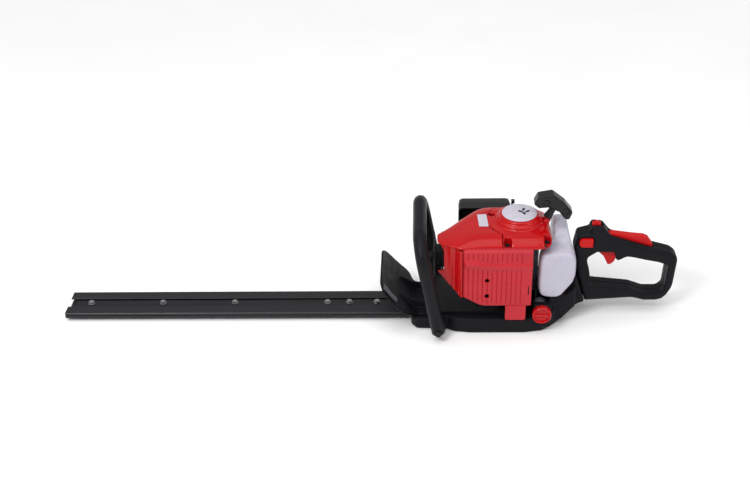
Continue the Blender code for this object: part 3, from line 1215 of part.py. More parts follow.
def make_hand_guard():
    """A sheet that curls up in front of the front handle, bolted to the frame's foot."""
    low = 0.0220 + GAP
    sheet = GUARD_SHEET
    outer = [(-0.1530, low), (-0.1880, low), (-0.1990, low + 0.0060), (-0.2100, low + 0.0170),
             (-0.2317, low + 0.0385), (-0.2430, low + 0.0530), (-0.2515, low + 0.0660),
             (-0.2565, GUARD_TOP_Z)]
    inner = [(-0.1530, low + sheet), (-0.1870, low + sheet), (-0.1965, low + 0.0060 + sheet * 0.8),
             (-0.2072, low + 0.0195), (-0.2287, low + 0.0408), (-0.2396, low + 0.0550),
             (-0.2480, low + 0.0673), (-0.2530, GUARD_TOP_Z)]
    sheet_solid = plate(outer + list(reversed(inner)), -0.12, 0.12, "XZ")
    half = GUARD_HALF_WIDTH
    edge = GUARD_TOP_Z - 0.0005
    front = rounded([(-0.050, low - 0.005), (0.050, low - 0.005), (0.055, low + 0.0060, 0.01),
                     (half - 0.002, low + 0.0150, 0.01), (half, 0.0640, 0.03), (half - 0.005, edge, 0.026),
                     (-half + 0.005, edge, 0.026), (-half, 0.0640, 0.03), (-half + 0.002, low + 0.0150, 0.01),
                     (-0.055, low + 0.0060, 0.01)], 4)
    guard = common(sheet_solid, plate(front, -0.30, -0.10, "YZ"))
    # the two ribs that stiffen the floor behind the curl
    for place in (-0.030, 0.030):
        rib = plate([(-0.1570, low + 0.001), (-0.1880, low + 0.001), (-0.2000, low + 0.0088),
                     (-0.2230, low + 0.0318), (-0.2180, low + 0.0345), (-0.2000, low + 0.0230),
                     (-0.1570, low + 0.0150)], place - 0.0020, place + 0.0020, "XZ")
        guard = join(guard, rib)
    return finish(guard, "hand_guard", BLACK)


# ---------------------------------------------------------------- rear handle
def handle_outer():
    seam = 0.0004
    return rounded([(NECK_SEAM_LOW[0] + seam, NECK_SEAM_LOW[1]), (0.2150, 0.0350, 0.02), (0.2380, 0.0285, 0.02),
                    (0.2740, 0.0285, 0.022), (0.2890, 0.0580, 0.03), (0.2935, 0.1225, 0.014),
                    (0.2800, 0.1330, 0.016), (0.2489, 0.1420, 0.05), (0.1680, 0.1690, 0.012),
                    (0.1535, 0.1875, 0.006), (0.1315, 0.1900, 0.006), (0.1290, 0.1780, 0.004),
                    (0.1065, 0.1715, 0.006), (0.1015, 0.1430, 0.02), (0.1060, 0.1200, 0.02),
                    (NECK_SEAM_HIGH[0] + seam, NECK_SEAM_HIGH[1])], 2)


def handle_opening():
    return rounded([(0.1375, 0.0625, 0.004), (0.2110, 0.0540, 0.02), (0.2380, 0.0435, 0.015),
                    (0.2640, 0.0432, 0.010), (0.2735, 0.0520, 0.01), (0.2760, 0.1075, 0.006),
                    (0.2572, 0.1148, 0.01), (0.2359, 0.1192, 0.02), (0.2106, 0.1256, 0.01),
                    (0.1986, 0.1275, 0.006), (0.1835, 0.1188, 0.003), (0.1785, 0.1225, 0.002),
                    (0.1790, 0.1330, 0.002), (0.1733, 0.1370, 0.004), (0.1440, 0.1378, 0.006),
                    (0.1275, 0.1260, 0.006), (0.1268, 0.1157, 0.01), (0.1318, 0.0989, 0.01)], 2)


def trigger_cavity():
    """Room inside the handle for the trigger, open to the finger opening."""
    return [(0.1350, 0.1300), (0.1775, 0.1300), (0.1790, 0.1140), (0.1910, 0.1140), (0.1930, 0.1385),
            (0.1865, 0.1530), (0.1700, 0.1572), (0.1540, 0.1588), (0.1405, 0.1582), (0.1393, 0.1480),
            (0.1373, 0.1360)]


def lever_cavity():
    """Room for the lockout lever, open at the handle's top."""
    return [(0.1625, 0.1590), (0.1740, 0.1565), (0.2000, 0.1470), (0.2445, 0.1262), (0.2475, 0.1450),
            (0.2480, 0.1750), (0.1622, 0.1950)]


def make_rear_handle():
    """Two moulded halves around the controls, split on the middle plane."""
    body = plate(handle_outer(), -HANDLE_HALF_WIDTH, HANDLE_HALF_WIDTH, "XZ", HANDLE_EDGE, 1)
    body = cut(body, plate(handle_opening(), -0.05, 0.05, "XZ"))
    trigger_half = TRIGGER_HALF_WIDTH + 0.0008
    body = cut(body, plate(trigger_cavity(), -trigger_half, trigger_half, "XZ"))
    lever_half = LEVER_HALF_WIDTH + 0.0008
    body = cut(body, plate(lever_cavity(), -lever_half, lever_half, "XZ"))
    # the hole of the throttle-lock button, in the near half only
    x, z = lock_centre()
    body = cut(body, plate(lock_outline(x, z, GAP), -0.030, -0.0110, "XZ"))
    # the stop switch's slot in the hump on top
    body = cut(body, box((0.1330, -0.0060, 0.1822), (0.1530, 0.0060, 0.2100)))
    for pivot in (TRIGGER_PIVOT, LEVER_PIVOT):
        body = cut(body, rod(PIN_RADIUS + GAP, -0.0130, 0.0130, "Y", pivot, 12))
    near = common(copy_of(body), box((0.0, -0.1, -0.1), (0.4, -GAP / 2.0, 0.4)))
    far = common(body, box((0.0, GAP / 2.0, -0.1), (0.4, 0.1, 0.4)))
    return finish(near, "rear_handle_near", BLACK), finish(far, "rear_handle_far", BLACK)


def copy_of(obj):
    return from_mesh("copy", obj.data.copy())


def make_trigger():
    """The throttle trigger with its pivot pin through it."""
    x, z = TRIGGER_PIVOT
    half = TRIGGER_HALF_WIDTH
    outline = rounded([(x - 0.0060, z - 0.0020, 0.003), (x - 0.0080, 0.1345, 0.003), (0.1500, 0.1284, 0.008),
                       (0.1584, 0.1200, 0.008), (0.1640, 0.1085, 0.003), (0.1672, 0.1016, 0.0015),
                       (0.1730, 0.1030, 0.002), (0.1785, 0.1080, 0.004), (0.1846, 0.1268, 0.003),
                       (0.1815, 0.1400, 0.006), (0.1700, 0.1480, 0.010), (x + 0.0060, z + 0.0060, 0.003),
                       (x - 0.0050, z + 0.0055, 0.003)], 2)
    trigger = plate(outline, -half, half, "XZ", 0.0012, 0)
    trigger = join(trigger, rod(PIN_RADIUS, -0.0125, 0.0125, "Y", TRIGGER_PIVOT, 12))
    return finish(trigger, "throttle_trigger", RED)


def make_lockout_lever():
    """The lever in the grip's top that the palm presses down."""
    x, z = LEVER_PIVOT
    half = LEVER_HALF_WIDTH
    outline = rounded([(x - 0.0050, z - 0.0035, 0.002), (x - 0.0050, z + 0.0062, 0.002), (0.1690, 0.1717, 0.003),
                       (0.2050, 0.1662, 0.010), (0.2290, 0.1635, 0.008), (0.2370, 0.1595, 0.006),
                       (0.2450, 0.1480, 0.003), (0.2456, 0.1400, 0.001), (0.2000, 0.1530, 0.01),
                       (x + 0.0050, z - 0.0048, 0.002)], 2)
    lever = plate(outline, -half, half, "XZ", 0.0015, 1)
    lever = join(lever, rod(PIN_RADIUS, -0.0125, 0.0125, "Y", LEVER_PIVOT, 12))
    return finish(lever, "lockout_lever", RED)


def make_stop_switch():
    """The sliding stop switch in the hump in front of the grip."""
    low = 0.1825
    slider = box((0.1335, -0.0056, low), (0.1485, 0.0056, 0.1908), 0.0005, 1)
    ridge = box((0.1380, -0.0045, 0.1903), (0.1440, 0.0045, 0.1943), 0.0008, 1)
    return finish(join(slider, ridge), "stop_switch", RED)


def lock_centre():
    return (0.1222, 0.1585)


def lock_outline(x, z, grow):
    half = 0.0135 + grow
    tall = 0.0095 + grow
    return rounded([(x - half, z - tall, 0.008), (x + half, z - tall, 0.002), (x + half, z + tall, 0.002),
                    (x - half, z + tall, 0.008)], 3)


def make_throttle_lock():
    """The button on the near side that holds the trigger at half throttle."""
    x, z = lock_centre()
    face = -HANDLE_HALF_WIDTH - 0.0035
    button = plate(lock_outline(x, z, 0.0), face, -0.0150, "XZ", 0.0008, 0)
    ridge = box((x - 0.0115, face - 0.0015, z - 0.0055), (x + 0.0115, face + 0.001, z - 0.0030), 0.0004, 1)
    return finish(join(button, ridge), "throttle_lock", RED)


# ---------------------------------------------------------------- bodies
def at_pivot(name, place, pieces):
    """Parent moving pieces to an empty on their joint's axis."""
    empty = bpy.data.objects.new(f"{name}_joint", None)
    empty.empty_display_size = 0.02
    empty.location = place
    PARTS.objects.link(empty)
    bpy.context.view_layer.update()
    for piece in pieces:
        piece.parent = empty
        piece.matrix_parent_inverse = empty.matrix_world.inverted()


def build():
    make_guide_bar()
    at_pivot("lower_blade", (GEAR_X, 0.0, LOWER_Z), [make_blade("lower_blade", LOWER_Z)])
    at_pivot("upper_blade", (GEAR_X, 0.0, UPPER_Z), [make_blade("upper_blade", UPPER_Z)])
    for index, place in enumerate(BOLT_PLACES):
        make_blade_bolt(f"blade_bolt_{index + 1}", place)
    at_pivot("scabbard", (SCABBARD_END_X, 0.0, SCABBARD_BOTTOM_Z), [make_scabbard()])
    make_base_frame()
    make_gear_case()
    make_blade_clamp()
    at_pivot("drive_gear", (GEAR_X, 0.0, GEAR_BOTTOM_Z), [make_drive_gear()])
    at_pivot("clutch_drum", (0.0, 0.0, DRUM_BOTTOM_Z), [make_clutch_drum()])
    make_crankcase()
    at_pivot("crank", (0.0, 0.0, CYLINDER_Z), make_crankshaft() + [make_clutch_hub(), make_flywheel()])
    at_pivot("piston", (PISTON_PIN_X, 0.0, CYLINDER_Z), [make_piston()])
    at_pivot("connecting_rod", (PISTON_PIN_X, 0.0, CYLINDER_Z), [make_connecting_rod()])
    make_cylinder()
    make_spark_plug()
    make_plug_cap()
    make_muffler()
    make_ignition_coil()
    make_recoil_housing()
    make_starter_screws()
    make_starter_badge()
    make_recoil_spring()
    at_pivot("rope_reel", (0.0, 0.0, STARTER_TOP_Z), [make_starter_reel()])
    at_pivot("starter_grip", GRIP_BASE, [make_starter_grip()])
    make_top_cover()
    make_side_cover()
    make_front_deflector()
    make_carburettor()
    at_pivot("throttle_arm", (*throttle_axis(), CYLINDER_Z), [make_throttle_arm()])
    make_air_case()
    make_air_element()
    make_air_cover()
    knob = knob_centre()
    at_pivot("air_cleaner_knob", (knob[0], AIR_NEAR_Y, knob[1]), [make_air_knob()])
    at_pivot("choke_lever", (AIR_RIGHT_X, *choke_pivot()), [make_choke_lever()])
    make_fuel_tank()
    at_pivot("fuel_cap", (CAP_CENTRE[0], -0.0775, CAP_CENTRE[1]), [make_fuel_cap()])
    make_front_handle()
    make_handle_bolt("handle_bolt_near", -1.0)
    make_handle_bolt("handle_bolt_far", 1.0)
    make_hand_guard()
    make_rear_handle()
    at_pivot("throttle_trigger", (TRIGGER_PIVOT[0], 0.0, TRIGGER_PIVOT[1]), [make_trigger()])
    at_pivot("lockout_lever", (LEVER_PIVOT[0], 0.0, LEVER_PIVOT[1]), [make_lockout_lever()])
    at_pivot("stop_switch", (0.1410, 0.0, 0.1870), [make_stop_switch()])
    lock_x, lock_z = lock_centre()
    at_pivot("throttle_lock", (lock_x, -HANDLE_HALF_WIDTH, lock_z), [make_throttle_lock()])


build()
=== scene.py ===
"""Looks for the petrol hedge trimmer: materials, moulded covers and studio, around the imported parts.

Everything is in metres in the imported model's frame: +X to the rear grip, the blade to -X, +Z up.
"""
import json
import math

import bmesh
import bpy
from mathutils import Matrix, Vector


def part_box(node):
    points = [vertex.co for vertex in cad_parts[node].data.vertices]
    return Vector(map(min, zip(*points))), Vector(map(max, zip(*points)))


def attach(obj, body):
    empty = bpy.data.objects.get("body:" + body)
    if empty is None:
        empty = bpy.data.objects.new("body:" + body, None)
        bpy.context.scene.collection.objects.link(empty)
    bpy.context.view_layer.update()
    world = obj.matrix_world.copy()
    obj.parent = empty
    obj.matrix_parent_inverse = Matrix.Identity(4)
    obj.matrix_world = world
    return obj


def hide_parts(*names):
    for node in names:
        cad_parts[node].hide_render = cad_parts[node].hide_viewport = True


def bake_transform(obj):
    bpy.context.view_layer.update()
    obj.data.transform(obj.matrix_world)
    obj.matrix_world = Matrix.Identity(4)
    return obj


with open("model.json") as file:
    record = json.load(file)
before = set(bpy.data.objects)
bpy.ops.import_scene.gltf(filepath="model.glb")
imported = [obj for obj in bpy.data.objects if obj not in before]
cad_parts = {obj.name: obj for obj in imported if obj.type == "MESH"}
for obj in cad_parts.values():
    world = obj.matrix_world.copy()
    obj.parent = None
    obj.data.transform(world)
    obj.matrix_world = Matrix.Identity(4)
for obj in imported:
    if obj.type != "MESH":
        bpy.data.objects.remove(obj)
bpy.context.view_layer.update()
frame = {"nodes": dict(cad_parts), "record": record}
NODES = frame["nodes"]
SCENE = bpy.context.scene

TINT_LOW, TINT_HIGH = 0.32, 0.68  # noise levels of a material's darkest and palest tint
GLOSS_LOW, GLOSS_HIGH = 0.3, 0.7  # noise levels of its shiniest and dullest patches
SCUFF_EDGE = 0.06  # how softly a scuff fades in
GLOW_DEPTH = 0.006  # how far light travels inside the tank's plastic
FINE_EDGE = 0.0003
SHARP = math.radians(38.0)


# ---------------------------------------------------------------- materials
def surface(name, colour, rough, metallic=0.0, vary=0.10, patch=60.0, grain=1800.0, bump=0.15,
            depth=0.0001, coat=0.0, coat_rough=0.1, spread=0.08, level=0.5,
            stretch=(1.0, 1.0, 1.0), wear=None, glow=0.0):
    """A Principled material whose colour, roughness and relief come from noise in object space.

    wear is (colour, scale, start) of a second noise that shows through as scuffs.
    """
    made = bpy.data.materials.new(name)
    made.use_nodes = True
    nodes = made.node_tree.nodes
    links = made.node_tree.links
    shader = nodes["Principled BSDF"]
    place = nodes.new("ShaderNodeTexCoord")
    mapping = nodes.new("ShaderNodeMapping")
    mapping.inputs["Scale"].default_value = stretch
    links.new(place.outputs["Object"], mapping.inputs["Vector"])
    cloud = nodes.new("ShaderNodeTexNoise")
    cloud.inputs["Scale"].default_value = patch
    cloud.inputs["Detail"].default_value = 5.0
    links.new(mapping.outputs["Vector"], cloud.inputs["Vector"])
    tint = nodes.new("ShaderNodeValToRGB")
    tint.color_ramp.elements[0].position = TINT_LOW
    tint.color_ramp.elements[1].position = TINT_HIGH
    tint.color_ramp.elements[0].color = (*[c * (1.0 - vary) for c in colour], 1.0)
    tint.color_ramp.elements[1].color = (*[min(1.0, c * (1.0 + vary)) for c in colour], 1.0)
    links.new(cloud.outputs["Fac"], tint.inputs["Fac"])
    fine = nodes.new("ShaderNodeTexNoise")
    fine.inputs["Scale"].default_value = grain
    fine.inputs["Detail"].default_value = 3.0
    links.new(mapping.outputs["Vector"], fine.inputs["Vector"])
    gloss = nodes.new("ShaderNodeMapRange")
    gloss.inputs["From Min"].default_value = GLOSS_LOW
    gloss.inputs["From Max"].default_value = GLOSS_HIGH
    gloss.inputs["To Min"].default_value = max(0.02, rough - spread)
    gloss.inputs["To Max"].default_value = min(1.0, rough + spread)
    links.new(cloud.outputs["Fac"], gloss.inputs["Value"])
    links.new(gloss.outputs["Result"], shader.inputs["Roughness"])
    relief = nodes.new("ShaderNodeBump")
    relief.inputs["Strength"].default_value = bump
    relief.inputs["Distance"].default_value = depth
    links.new(fine.outputs["Fac"], relief.inputs["Height"])
    links.new(relief.outputs["Normal"], shader.inputs["Normal"])
    colour_out = tint.outputs["Color"]
    if wear is not None:
        wear_colour, wear_scale, wear_start = wear
        scuff = nodes.new("ShaderNodeTexNoise")
        scuff.inputs["Scale"].default_value = wear_scale
        scuff.inputs["Detail"].default_value = 8.0
        scuff.inputs["Roughness"].default_value = 0.75
        links.new(mapping.outputs["Vector"], scuff.inputs["Vector"])
        pick = nodes.new("ShaderNodeValToRGB")
        pick.color_ramp.elements[0].position = wear_start
        pick.color_ramp.elements[1].position = wear_start + SCUFF_EDGE
        links.new(scuff.outputs["Fac"], pick.inputs["Fac"])
        blend = nodes.new("ShaderNodeMix")
        blend.data_type = "RGBA"
        links.new(pick.outputs["Color"], blend.inputs["Factor"])
        links.new(tint.outputs["Color"], blend.inputs["A"])
        blend.inputs["B"].default_value = (*wear_colour, 1.0)
        colour_out = blend.outputs["Result"]
    links.new(colour_out, shader.inputs["Base Color"])
    shader.inputs["Metallic"].default_value = metallic
    shader.inputs["Specular IOR Level"].default_value = level
    shader.inputs["Subsurface Weight"].default_value = glow
    shader.inputs["Subsurface Scale"].default_value = GLOW_DEPTH
    shader.inputs["Coat Weight"].default_value = coat
    shader.inputs["Coat Roughness"].default_value = coat_rough
    return made


RED = surface("red_gloss", (0.44, 0.002, 0.004), 0.22, vary=0.05, patch=25.0, grain=900.0, bump=0.05,
              depth=0.00006, coat=0.16, coat_rough=0.06, spread=0.04, level=0.22)
RED_SATIN = surface("red_satin", (0.46, 0.016, 0.026), 0.38, vary=0.05, patch=30.0,
                    grain=2200.0, bump=0.20, depth=0.00006, spread=0.05, level=0.28)
RED_TRIM = surface("red_trim", (0.50, 0.003, 0.004), 0.34, vary=0.06, patch=60.0,
                   grain=2400.0, bump=0.20, depth=0.00006, spread=0.05, level=0.22)
BLACK = surface("black_plastic", (0.0052, 0.0052, 0.0072), 0.50, vary=0.22, patch=40.0,
                grain=2600.0, bump=0.28, depth=0.00009, spread=0.08, level=0.13)
BLACK_GLOSS = surface("black_gloss", (0.0050, 0.0050, 0.0062), 0.26, vary=0.18, patch=50.0, grain=1600.0,
                      bump=0.12, spread=0.07, level=0.30)
HANDLE = surface("handle_black", (0.0062, 0.0063, 0.0082), 0.42, vary=0.15, patch=50.0,
                 grain=3000.0, bump=0.28, depth=0.00010, spread=0.06, level=0.15)
SCABBARD = surface("scabbard_black", (0.0118, 0.0112, 0.0150), 0.42, vary=0.25, patch=30.0,
                   grain=900.0, bump=0.20, depth=0.0001, stretch=(0.12, 1.0, 1.0), spread=0.09, level=0.30,
                   wear=((0.035, 0.034, 0.040), 220.0, 0.70))
TANK = surface("tank_plastic", (0.47, 0.46, 0.54), 0.30, vary=0.05, patch=22.0, grain=1400.0, bump=0.10,
               depth=0.00008, coat=0.15, coat_rough=0.20, level=0.35, glow=0.35)
STEEL = surface("steel", (0.42, 0.42, 0.43), 0.30, metallic=1.0, vary=0.12, patch=90.0,
                grain=700.0, bump=0.20, depth=0.00006, stretch=(0.08, 1.0, 1.0), spread=0.08)
BAR = surface("blued_steel", (0.020, 0.020, 0.022), 0.36, metallic=0.5, vary=0.25, patch=70.0, grain=900.0,
              bump=0.15, depth=0.00006, stretch=(0.08, 1.0, 1.0), spread=0.08, level=0.30,
              wear=((0.16, 0.16, 0.17), 160.0, 0.66))
ALLOY = surface("alloy", (0.35, 0.35, 0.37), 0.48, metallic=1.0, vary=0.12, patch=70.0,
                grain=1500.0, bump=0.55, depth=0.00015, spread=0.10)
IRON = surface("black_metal", (0.0070, 0.0070, 0.0082), 0.50, metallic=0.1, vary=0.25, patch=60.0,
               grain=1500.0, bump=0.40, depth=0.00012, spread=0.10, level=0.24)
SILVER = surface("badge_silver", (0.56, 0.54, 0.62), 0.34, metallic=0.15, vary=0.04, patch=80.0,
                 grain=2400.0, bump=0.06, coat=0.2, coat_rough=0.15, spread=0.05, level=0.40)
LABEL = surface("label_grey", (0.075, 0.075, 0.085), 0.40, vary=0.35, patch=420.0,
                grain=2400.0, bump=0.08, level=0.35, stretch=(1.0, 0.35, 1.0))
PRINT = surface("badge_print", (0.030, 0.030, 0.036), 0.45, vary=0.20, patch=90.0, grain=2400.0, bump=0.10,
                level=0.25)
FOAM = surface("filter_foam", (0.62, 0.42, 0.05), 0.90, vary=0.25, patch=260.0, grain=1500.0, bump=0.9,
               depth=0.0006)
RUBBER = surface("rubber", (0.0080, 0.0080, 0.0090), 0.62, vary=0.15, patch=60.0,
                 grain=1800.0, bump=0.3, level=0.20)
ROPE = surface("rope", (0.016, 0.016, 0.018), 0.80, vary=0.30, patch=700.0, grain=1500.0, bump=0.6,
               depth=0.0003, level=0.15)

LOOKS = {
    RED: ("fuel_cap", "front_deflector", "top_cover", "recoil_housing"),
    RED_SATIN: ("side_cover",),
    RED_TRIM: ("stop_switch", "throttle_lock", "throttle_trigger", "lockout_lever"),
    BLACK: ("base_frame", "hand_guard", "rear_handle_near", "rear_handle_far", "rope_reel"),
    BLACK_GLOSS: ("starter_grip", "air_filter_case", "air_filter_cover", "air_cleaner_knob", "choke_lever"),
    HANDLE: ("front_handle",),
    SCABBARD: ("scabbard",),
    TANK: ("fuel_tank",),
    BAR: ("guide_bar",),
    STEEL: ("lower_blade", "upper_blade", "blade_bolt_1", "blade_bolt_2", "blade_bolt_3", "blade_bolt_4",
            "blade_bolt_5", "blade_bolt_6", "drive_gear", "clutch_drum", "crankshaft", "clutch_shaft",
            "connecting_rod", "recoil_spring", "throttle_arm"),
    ALLOY: ("crankcase", "piston", "flywheel", "clutch_hub", "carburettor", "blade_clamp"),
    IRON: ("cylinder", "gear_case", "handle_bolt_near", "handle_bolt_far", "starter_screw_1",
           "starter_screw_2", "starter_screw_3", "ignition_coil", "muffler"),
    SILVER: ("starter_badge",),
    FOAM: ("air_filter_element",),
    RUBBER: ("plug_cap", "spark_plug"),
}
EDGES = {"cylinder": 0.0006}  # parts with a broader edge than FINE_EDGE
BODY_OF = {name: body for body, names in frame["record"]["behaviour"]["bodies"].items()
           for name in names}


def dress():
    """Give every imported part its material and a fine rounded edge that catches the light."""
    for look, names in LOOKS.items():
        for name in names:
            node = NODES[name]
            node.data.materials.clear()
            node.data.materials.append(look)
            edge = node.modifiers.new("edge", "BEVEL")
            edge.width = EDGES.get(name, FINE_EDGE)
            edge.segments = 2
            edge.limit_method = "ANGLE"
            edge.angle_limit = SHARP


# ---------------------------------------------------------------- mesh tools
def add_mesh(name, points, faces, look, smooth=True):
    """A mesh object from points and faces, its normals turned outward."""
    mesh = bpy.data.meshes.new(name)
    mesh.from_pydata([tuple(point) for point in points], [], faces)
    work = bmesh.new()
    work.from_mesh(mesh)
    bmesh.ops.recalc_face_normals(work, faces=work.faces[:])
    work.to_mesh(mesh)
    work.free()
    mesh.materials.append(look)
    for face in mesh.polygons:
        face.use_smooth = smooth
    made = bpy.data.objects.new(name, mesh)
    SCENE.collection.objects.link(made)
    return made


def apply_all(obj):
    """Turn an object's modifiers into its mesh."""
    look = obj.data.materials[0]
    graph = bpy.context.evaluated_depsgraph_get()
    mesh = bpy.data.meshes.new_from_object(obj.evaluated_get(graph))
    obj.modifiers.clear()
    obj.data = mesh
    mesh.materials.clear()
    mesh.materials.append(look)
    for face in mesh.polygons:
        face.use_smooth = True
        face.material_index = 0
    return obj


def block(low, high):
    """A plain box that only cuts room out of a piece."""
    points = [(x, y, z) for x in (low[0], high[0]) for y in (low[1], high[1])
              for z in (low[2], high[2])]
    faces = [(0, 1, 3, 2), (4, 6, 7, 5), (0, 4, 5, 1), (2, 3, 7, 6), (0, 2, 6, 4), (1, 5, 7, 3)]
    return add_mesh("room", points, faces, RED)


def soften(node_name, voxel, rounds, look, warp=None, rooms=()):
    """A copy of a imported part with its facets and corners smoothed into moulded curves.

    rooms are (low, high) corners of spaces kept clear for other parts; warp moves each point last.
    """
    node = NODES[node_name]
    made = bpy.data.objects.new(f"{node_name}_moulded", node.data.copy())
    SCENE.collection.objects.link(made)
    made.data.materials.clear()
    made.data.materials.append(look)
    tools = [block(low, high) for low, high in rooms]
    for index, tool in enumerate(tools):
        room = made.modifiers.new(f"room_{index}", "BOOLEAN")
        room.operation = "DIFFERENCE"
        room.solver = "EXACT"
        room.object = tool
    remesh = made.modifiers.new("remesh", "REMESH")
    remesh.mode = "VOXEL"
    remesh.voxel_size = voxel
    relax = made.modifiers.new("relax", "SMOOTH")
    relax.iterations = rounds
    apply_all(made)
    for tool in tools:
        bpy.data.objects.remove(tool)
    if warp is not None:
        for vertex in made.data.vertices:
            vertex.co = warp(vertex.co)
    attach(made, BODY_OF[node_name])
    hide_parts(node_name)


def lathe(name, profile, place, turn, look, steps=48):
    """A closed turned piece from (radius, height) points about its own Z, then turned and placed."""
    points = []
    faces = []
    count = len(profile)
    for step in range(steps):
        angle = 2.0 * math.pi * step / steps
        for radius, height in profile:
            points.append((radius * math.cos(angle), radius * math.sin(angle), height))
    for step in range(steps):
        after = (step + 1) % steps
        for index in range(count):
            other = (index + 1) % count
            faces.append((step * count + index, after * count + index, after * count + other,
                          step * count + other))
    made = add_mesh(name, points, faces, look)
    weld = made.modifiers.new("weld", "WELD")
    weld.merge_threshold = 0.00001
    made.data.transform(Matrix.Translation(place) @ turn)
    return apply_all(made)


def prism(name, outline, low, high, matrix, look, edge=0.0):
    """A flat plate from an outline, with its rim rounded by a bevel."""
    count = len(outline)
    points = [(x, y, low) for x, y in outline] + [(x, y, high) for x, y in outline]
    faces = [tuple(range(count)), tuple(range(count, 2 * count))]
    faces += [(i, (i + 1) % count, (i + 1) % count + count, i + count) for i in range(count)]
    made = add_mesh(name, points, faces, look, False)
    if edge:
        rim = made.modifiers.new("rim", "BEVEL")
        rim.width = edge
        rim.segments = 2
        rim.limit_method = "ANGLE"
        rim.angle_limit = math.radians(50.0)
    made.data.transform(matrix)
    apply_all(made)
    for face in made.data.polygons:
        face.use_smooth = False
    return made


def tube_faces(sides, lengths):
    """The walls between rings of points that follow one another along a tube."""
    faces = []
    for ring in range(lengths):
        for step in range(sides):
            after = (step + 1) % sides
            faces.append((ring * sides + step, ring * sides + after, (ring + 1) * sides + after,
                          (ring + 1) * sides + step))
    return faces


def smoothstep(value):
    """0 below 0, 1 above 1 and an even curve between."""
    value = min(max(value, 0.0), 1.0)
    return value * value * (3.0 - 2.0 * value)


# ---------------------------------------------------------------- covers
def make_side_cover():
    """The ribbed cover: two rows of grooves, a rolled bulge between them, two holes and a slot."""
    low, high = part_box("side_cover")
    left, face_y = low[0], low[1]
    right, shoulder, floor = high[0], high[2], 0.0620
    top = shoulder + 0.0045
    back = face_y + 0.0200
    columns = 252
    rows = 160
    ribbed_from, ribbed_to = -0.099, 0.005
    grooves = [-0.0947 + 0.00865 * index for index in range(12)]
    groove_depth, groove_width = 0.0014, 0.00075
    bulge_height, bulge_width = 0.0042, 0.0058
    crease, crease_half = 0.1030, 0.0009
    holes = ((-0.0605, 0.1186), (-0.0605, 0.0852))
    hole_radius = 0.0043
    slot_left, slot_right, slot_low, slot_high = 0.0134, 0.0154, 0.0880, 0.1070

    def lowest(x):
        """The cover's bottom edge, which climbs towards the front."""
        climb = smoothstep((-0.060 - x) / 0.045)
        return floor + 0.0175 * climb ** 1.3

    def outside(x, z):
        """How far the skin stands out from the face plane."""
        crest = 0.1545 - 0.0060 * smoothstep((x + 0.100) / 0.050)
        bulge = bulge_height * math.exp(-((z - crest) / bulge_width) ** 2)
        bulge *= smoothstep((x - left) / 0.006)
        step_out = 0.0010 * smoothstep((z - crest) / 0.004)
        edge = 0.0
        for gap, size in ((x - left, 0.0090), (right - x, 0.0025), (z - lowest(x), 0.0060)):
            if gap < size:
                edge -= size * (1.0 - math.sqrt(max(0.0, 1.0 - (1.0 - gap / size) ** 2))) * 0.8
        edge -= 0.0055 * smoothstep((z - shoulder + 0.0008) / 0.0030)
        groove = 0.0
        upper_row = crest + 0.0095 < z < shoulder - 0.0035
        lower_row = lowest(x) + 0.006 < z < crest - 0.0080
        ribbed = ribbed_from < x < ribbed_to
        if (upper_row or lower_row) and ribbed:
            nearest = min(abs(x - place) for place in grooves)
            groove = -groove_depth * math.exp(-(nearest / groove_width) ** 2)
        if abs(z - crease) < crease_half and ribbed:
            groove *= 0.2
        return bulge + step_out + edge + groove

    points = []
    for row in range(rows + 1):
        for column in range(columns + 1):
            x = left + (right - left) * column / columns
            base = lowest(x)
            z = base + (top - base) * row / rows
            points.append((x, face_y - outside(x, z), z))
    wide = columns + 1
    faces = []
    for row in range(rows):
        for column in range(columns):
            start = row * wide + column
            corners = (start, start + 1, start + wide + 1, start + wide)
            x = sum(points[corner][0] for corner in corners) / 4.0
            z = sum(points[corner][2] for corner in corners) / 4.0
            near_hole = min(math.hypot(x - hole_x, z - hole_z) for hole_x, hole_z in holes)
            in_slot = slot_left < x < slot_right and slot_low < z < slot_high
            if near_hole > hole_radius and not in_slot:
                faces.append(corners)
    # vertices beside a hole move onto its circle
    for index, (x, y, z) in enumerate(points):
        for hole_x, hole_z in holes:
            reach = math.hypot(x - hole_x, z - hole_z)
            if 0.0 < reach and abs(reach - hole_radius) < 0.00045:
                share = hole_radius / reach
                points[index] = (hole_x + (x - hole_x) * share, y, hole_z + (z - hole_z) * share)
    # the turned-back rim along the left, bottom and right edges
    rim = [row * wide for row in range(rows, -1, -1)]
    rim += list(range(1, columns))
    rim += [row * wide + columns for row in range(rows + 1)]
    base = len(points)
    for index in rim:
        x, y, z = points[index]
        points.append((x, back, z))
    for step in range(len(rim) - 1):
        faces.append((rim[step], rim[step + 1], base + step + 1, base + step))
    made = add_mesh("side_cover_moulded", points, faces, RED_SATIN)
    sheet = made.modifiers.new("sheet", "SOLIDIFY")
    sheet.thickness = 0.0020
    sheet.offset = -1.0
    apply_all(made)
    made.data.set_sharp_from_angle(angle=math.radians(40.0))
    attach(made, "chassis")
    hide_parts("side_cover")
    tab = [(-0.0262, 0.0640), (-0.0262, 0.0352), (-0.0252, 0.0328), (-0.0228, 0.0318),
           (0.0078, 0.0318), (0.0102, 0.0328), (0.0112, 0.0352), (0.0112, 0.0640)]
    upright = Matrix.Rotation(math.radians(90.0), 4, "X")
    place = Matrix.Translation((0.0, face_y + 0.0002, 0.0)) @ upright
    foot = prism("side_cover_tab", tab, -0.0021, 0.0, place, RED_SATIN, 0.0006)
    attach(foot, "chassis")


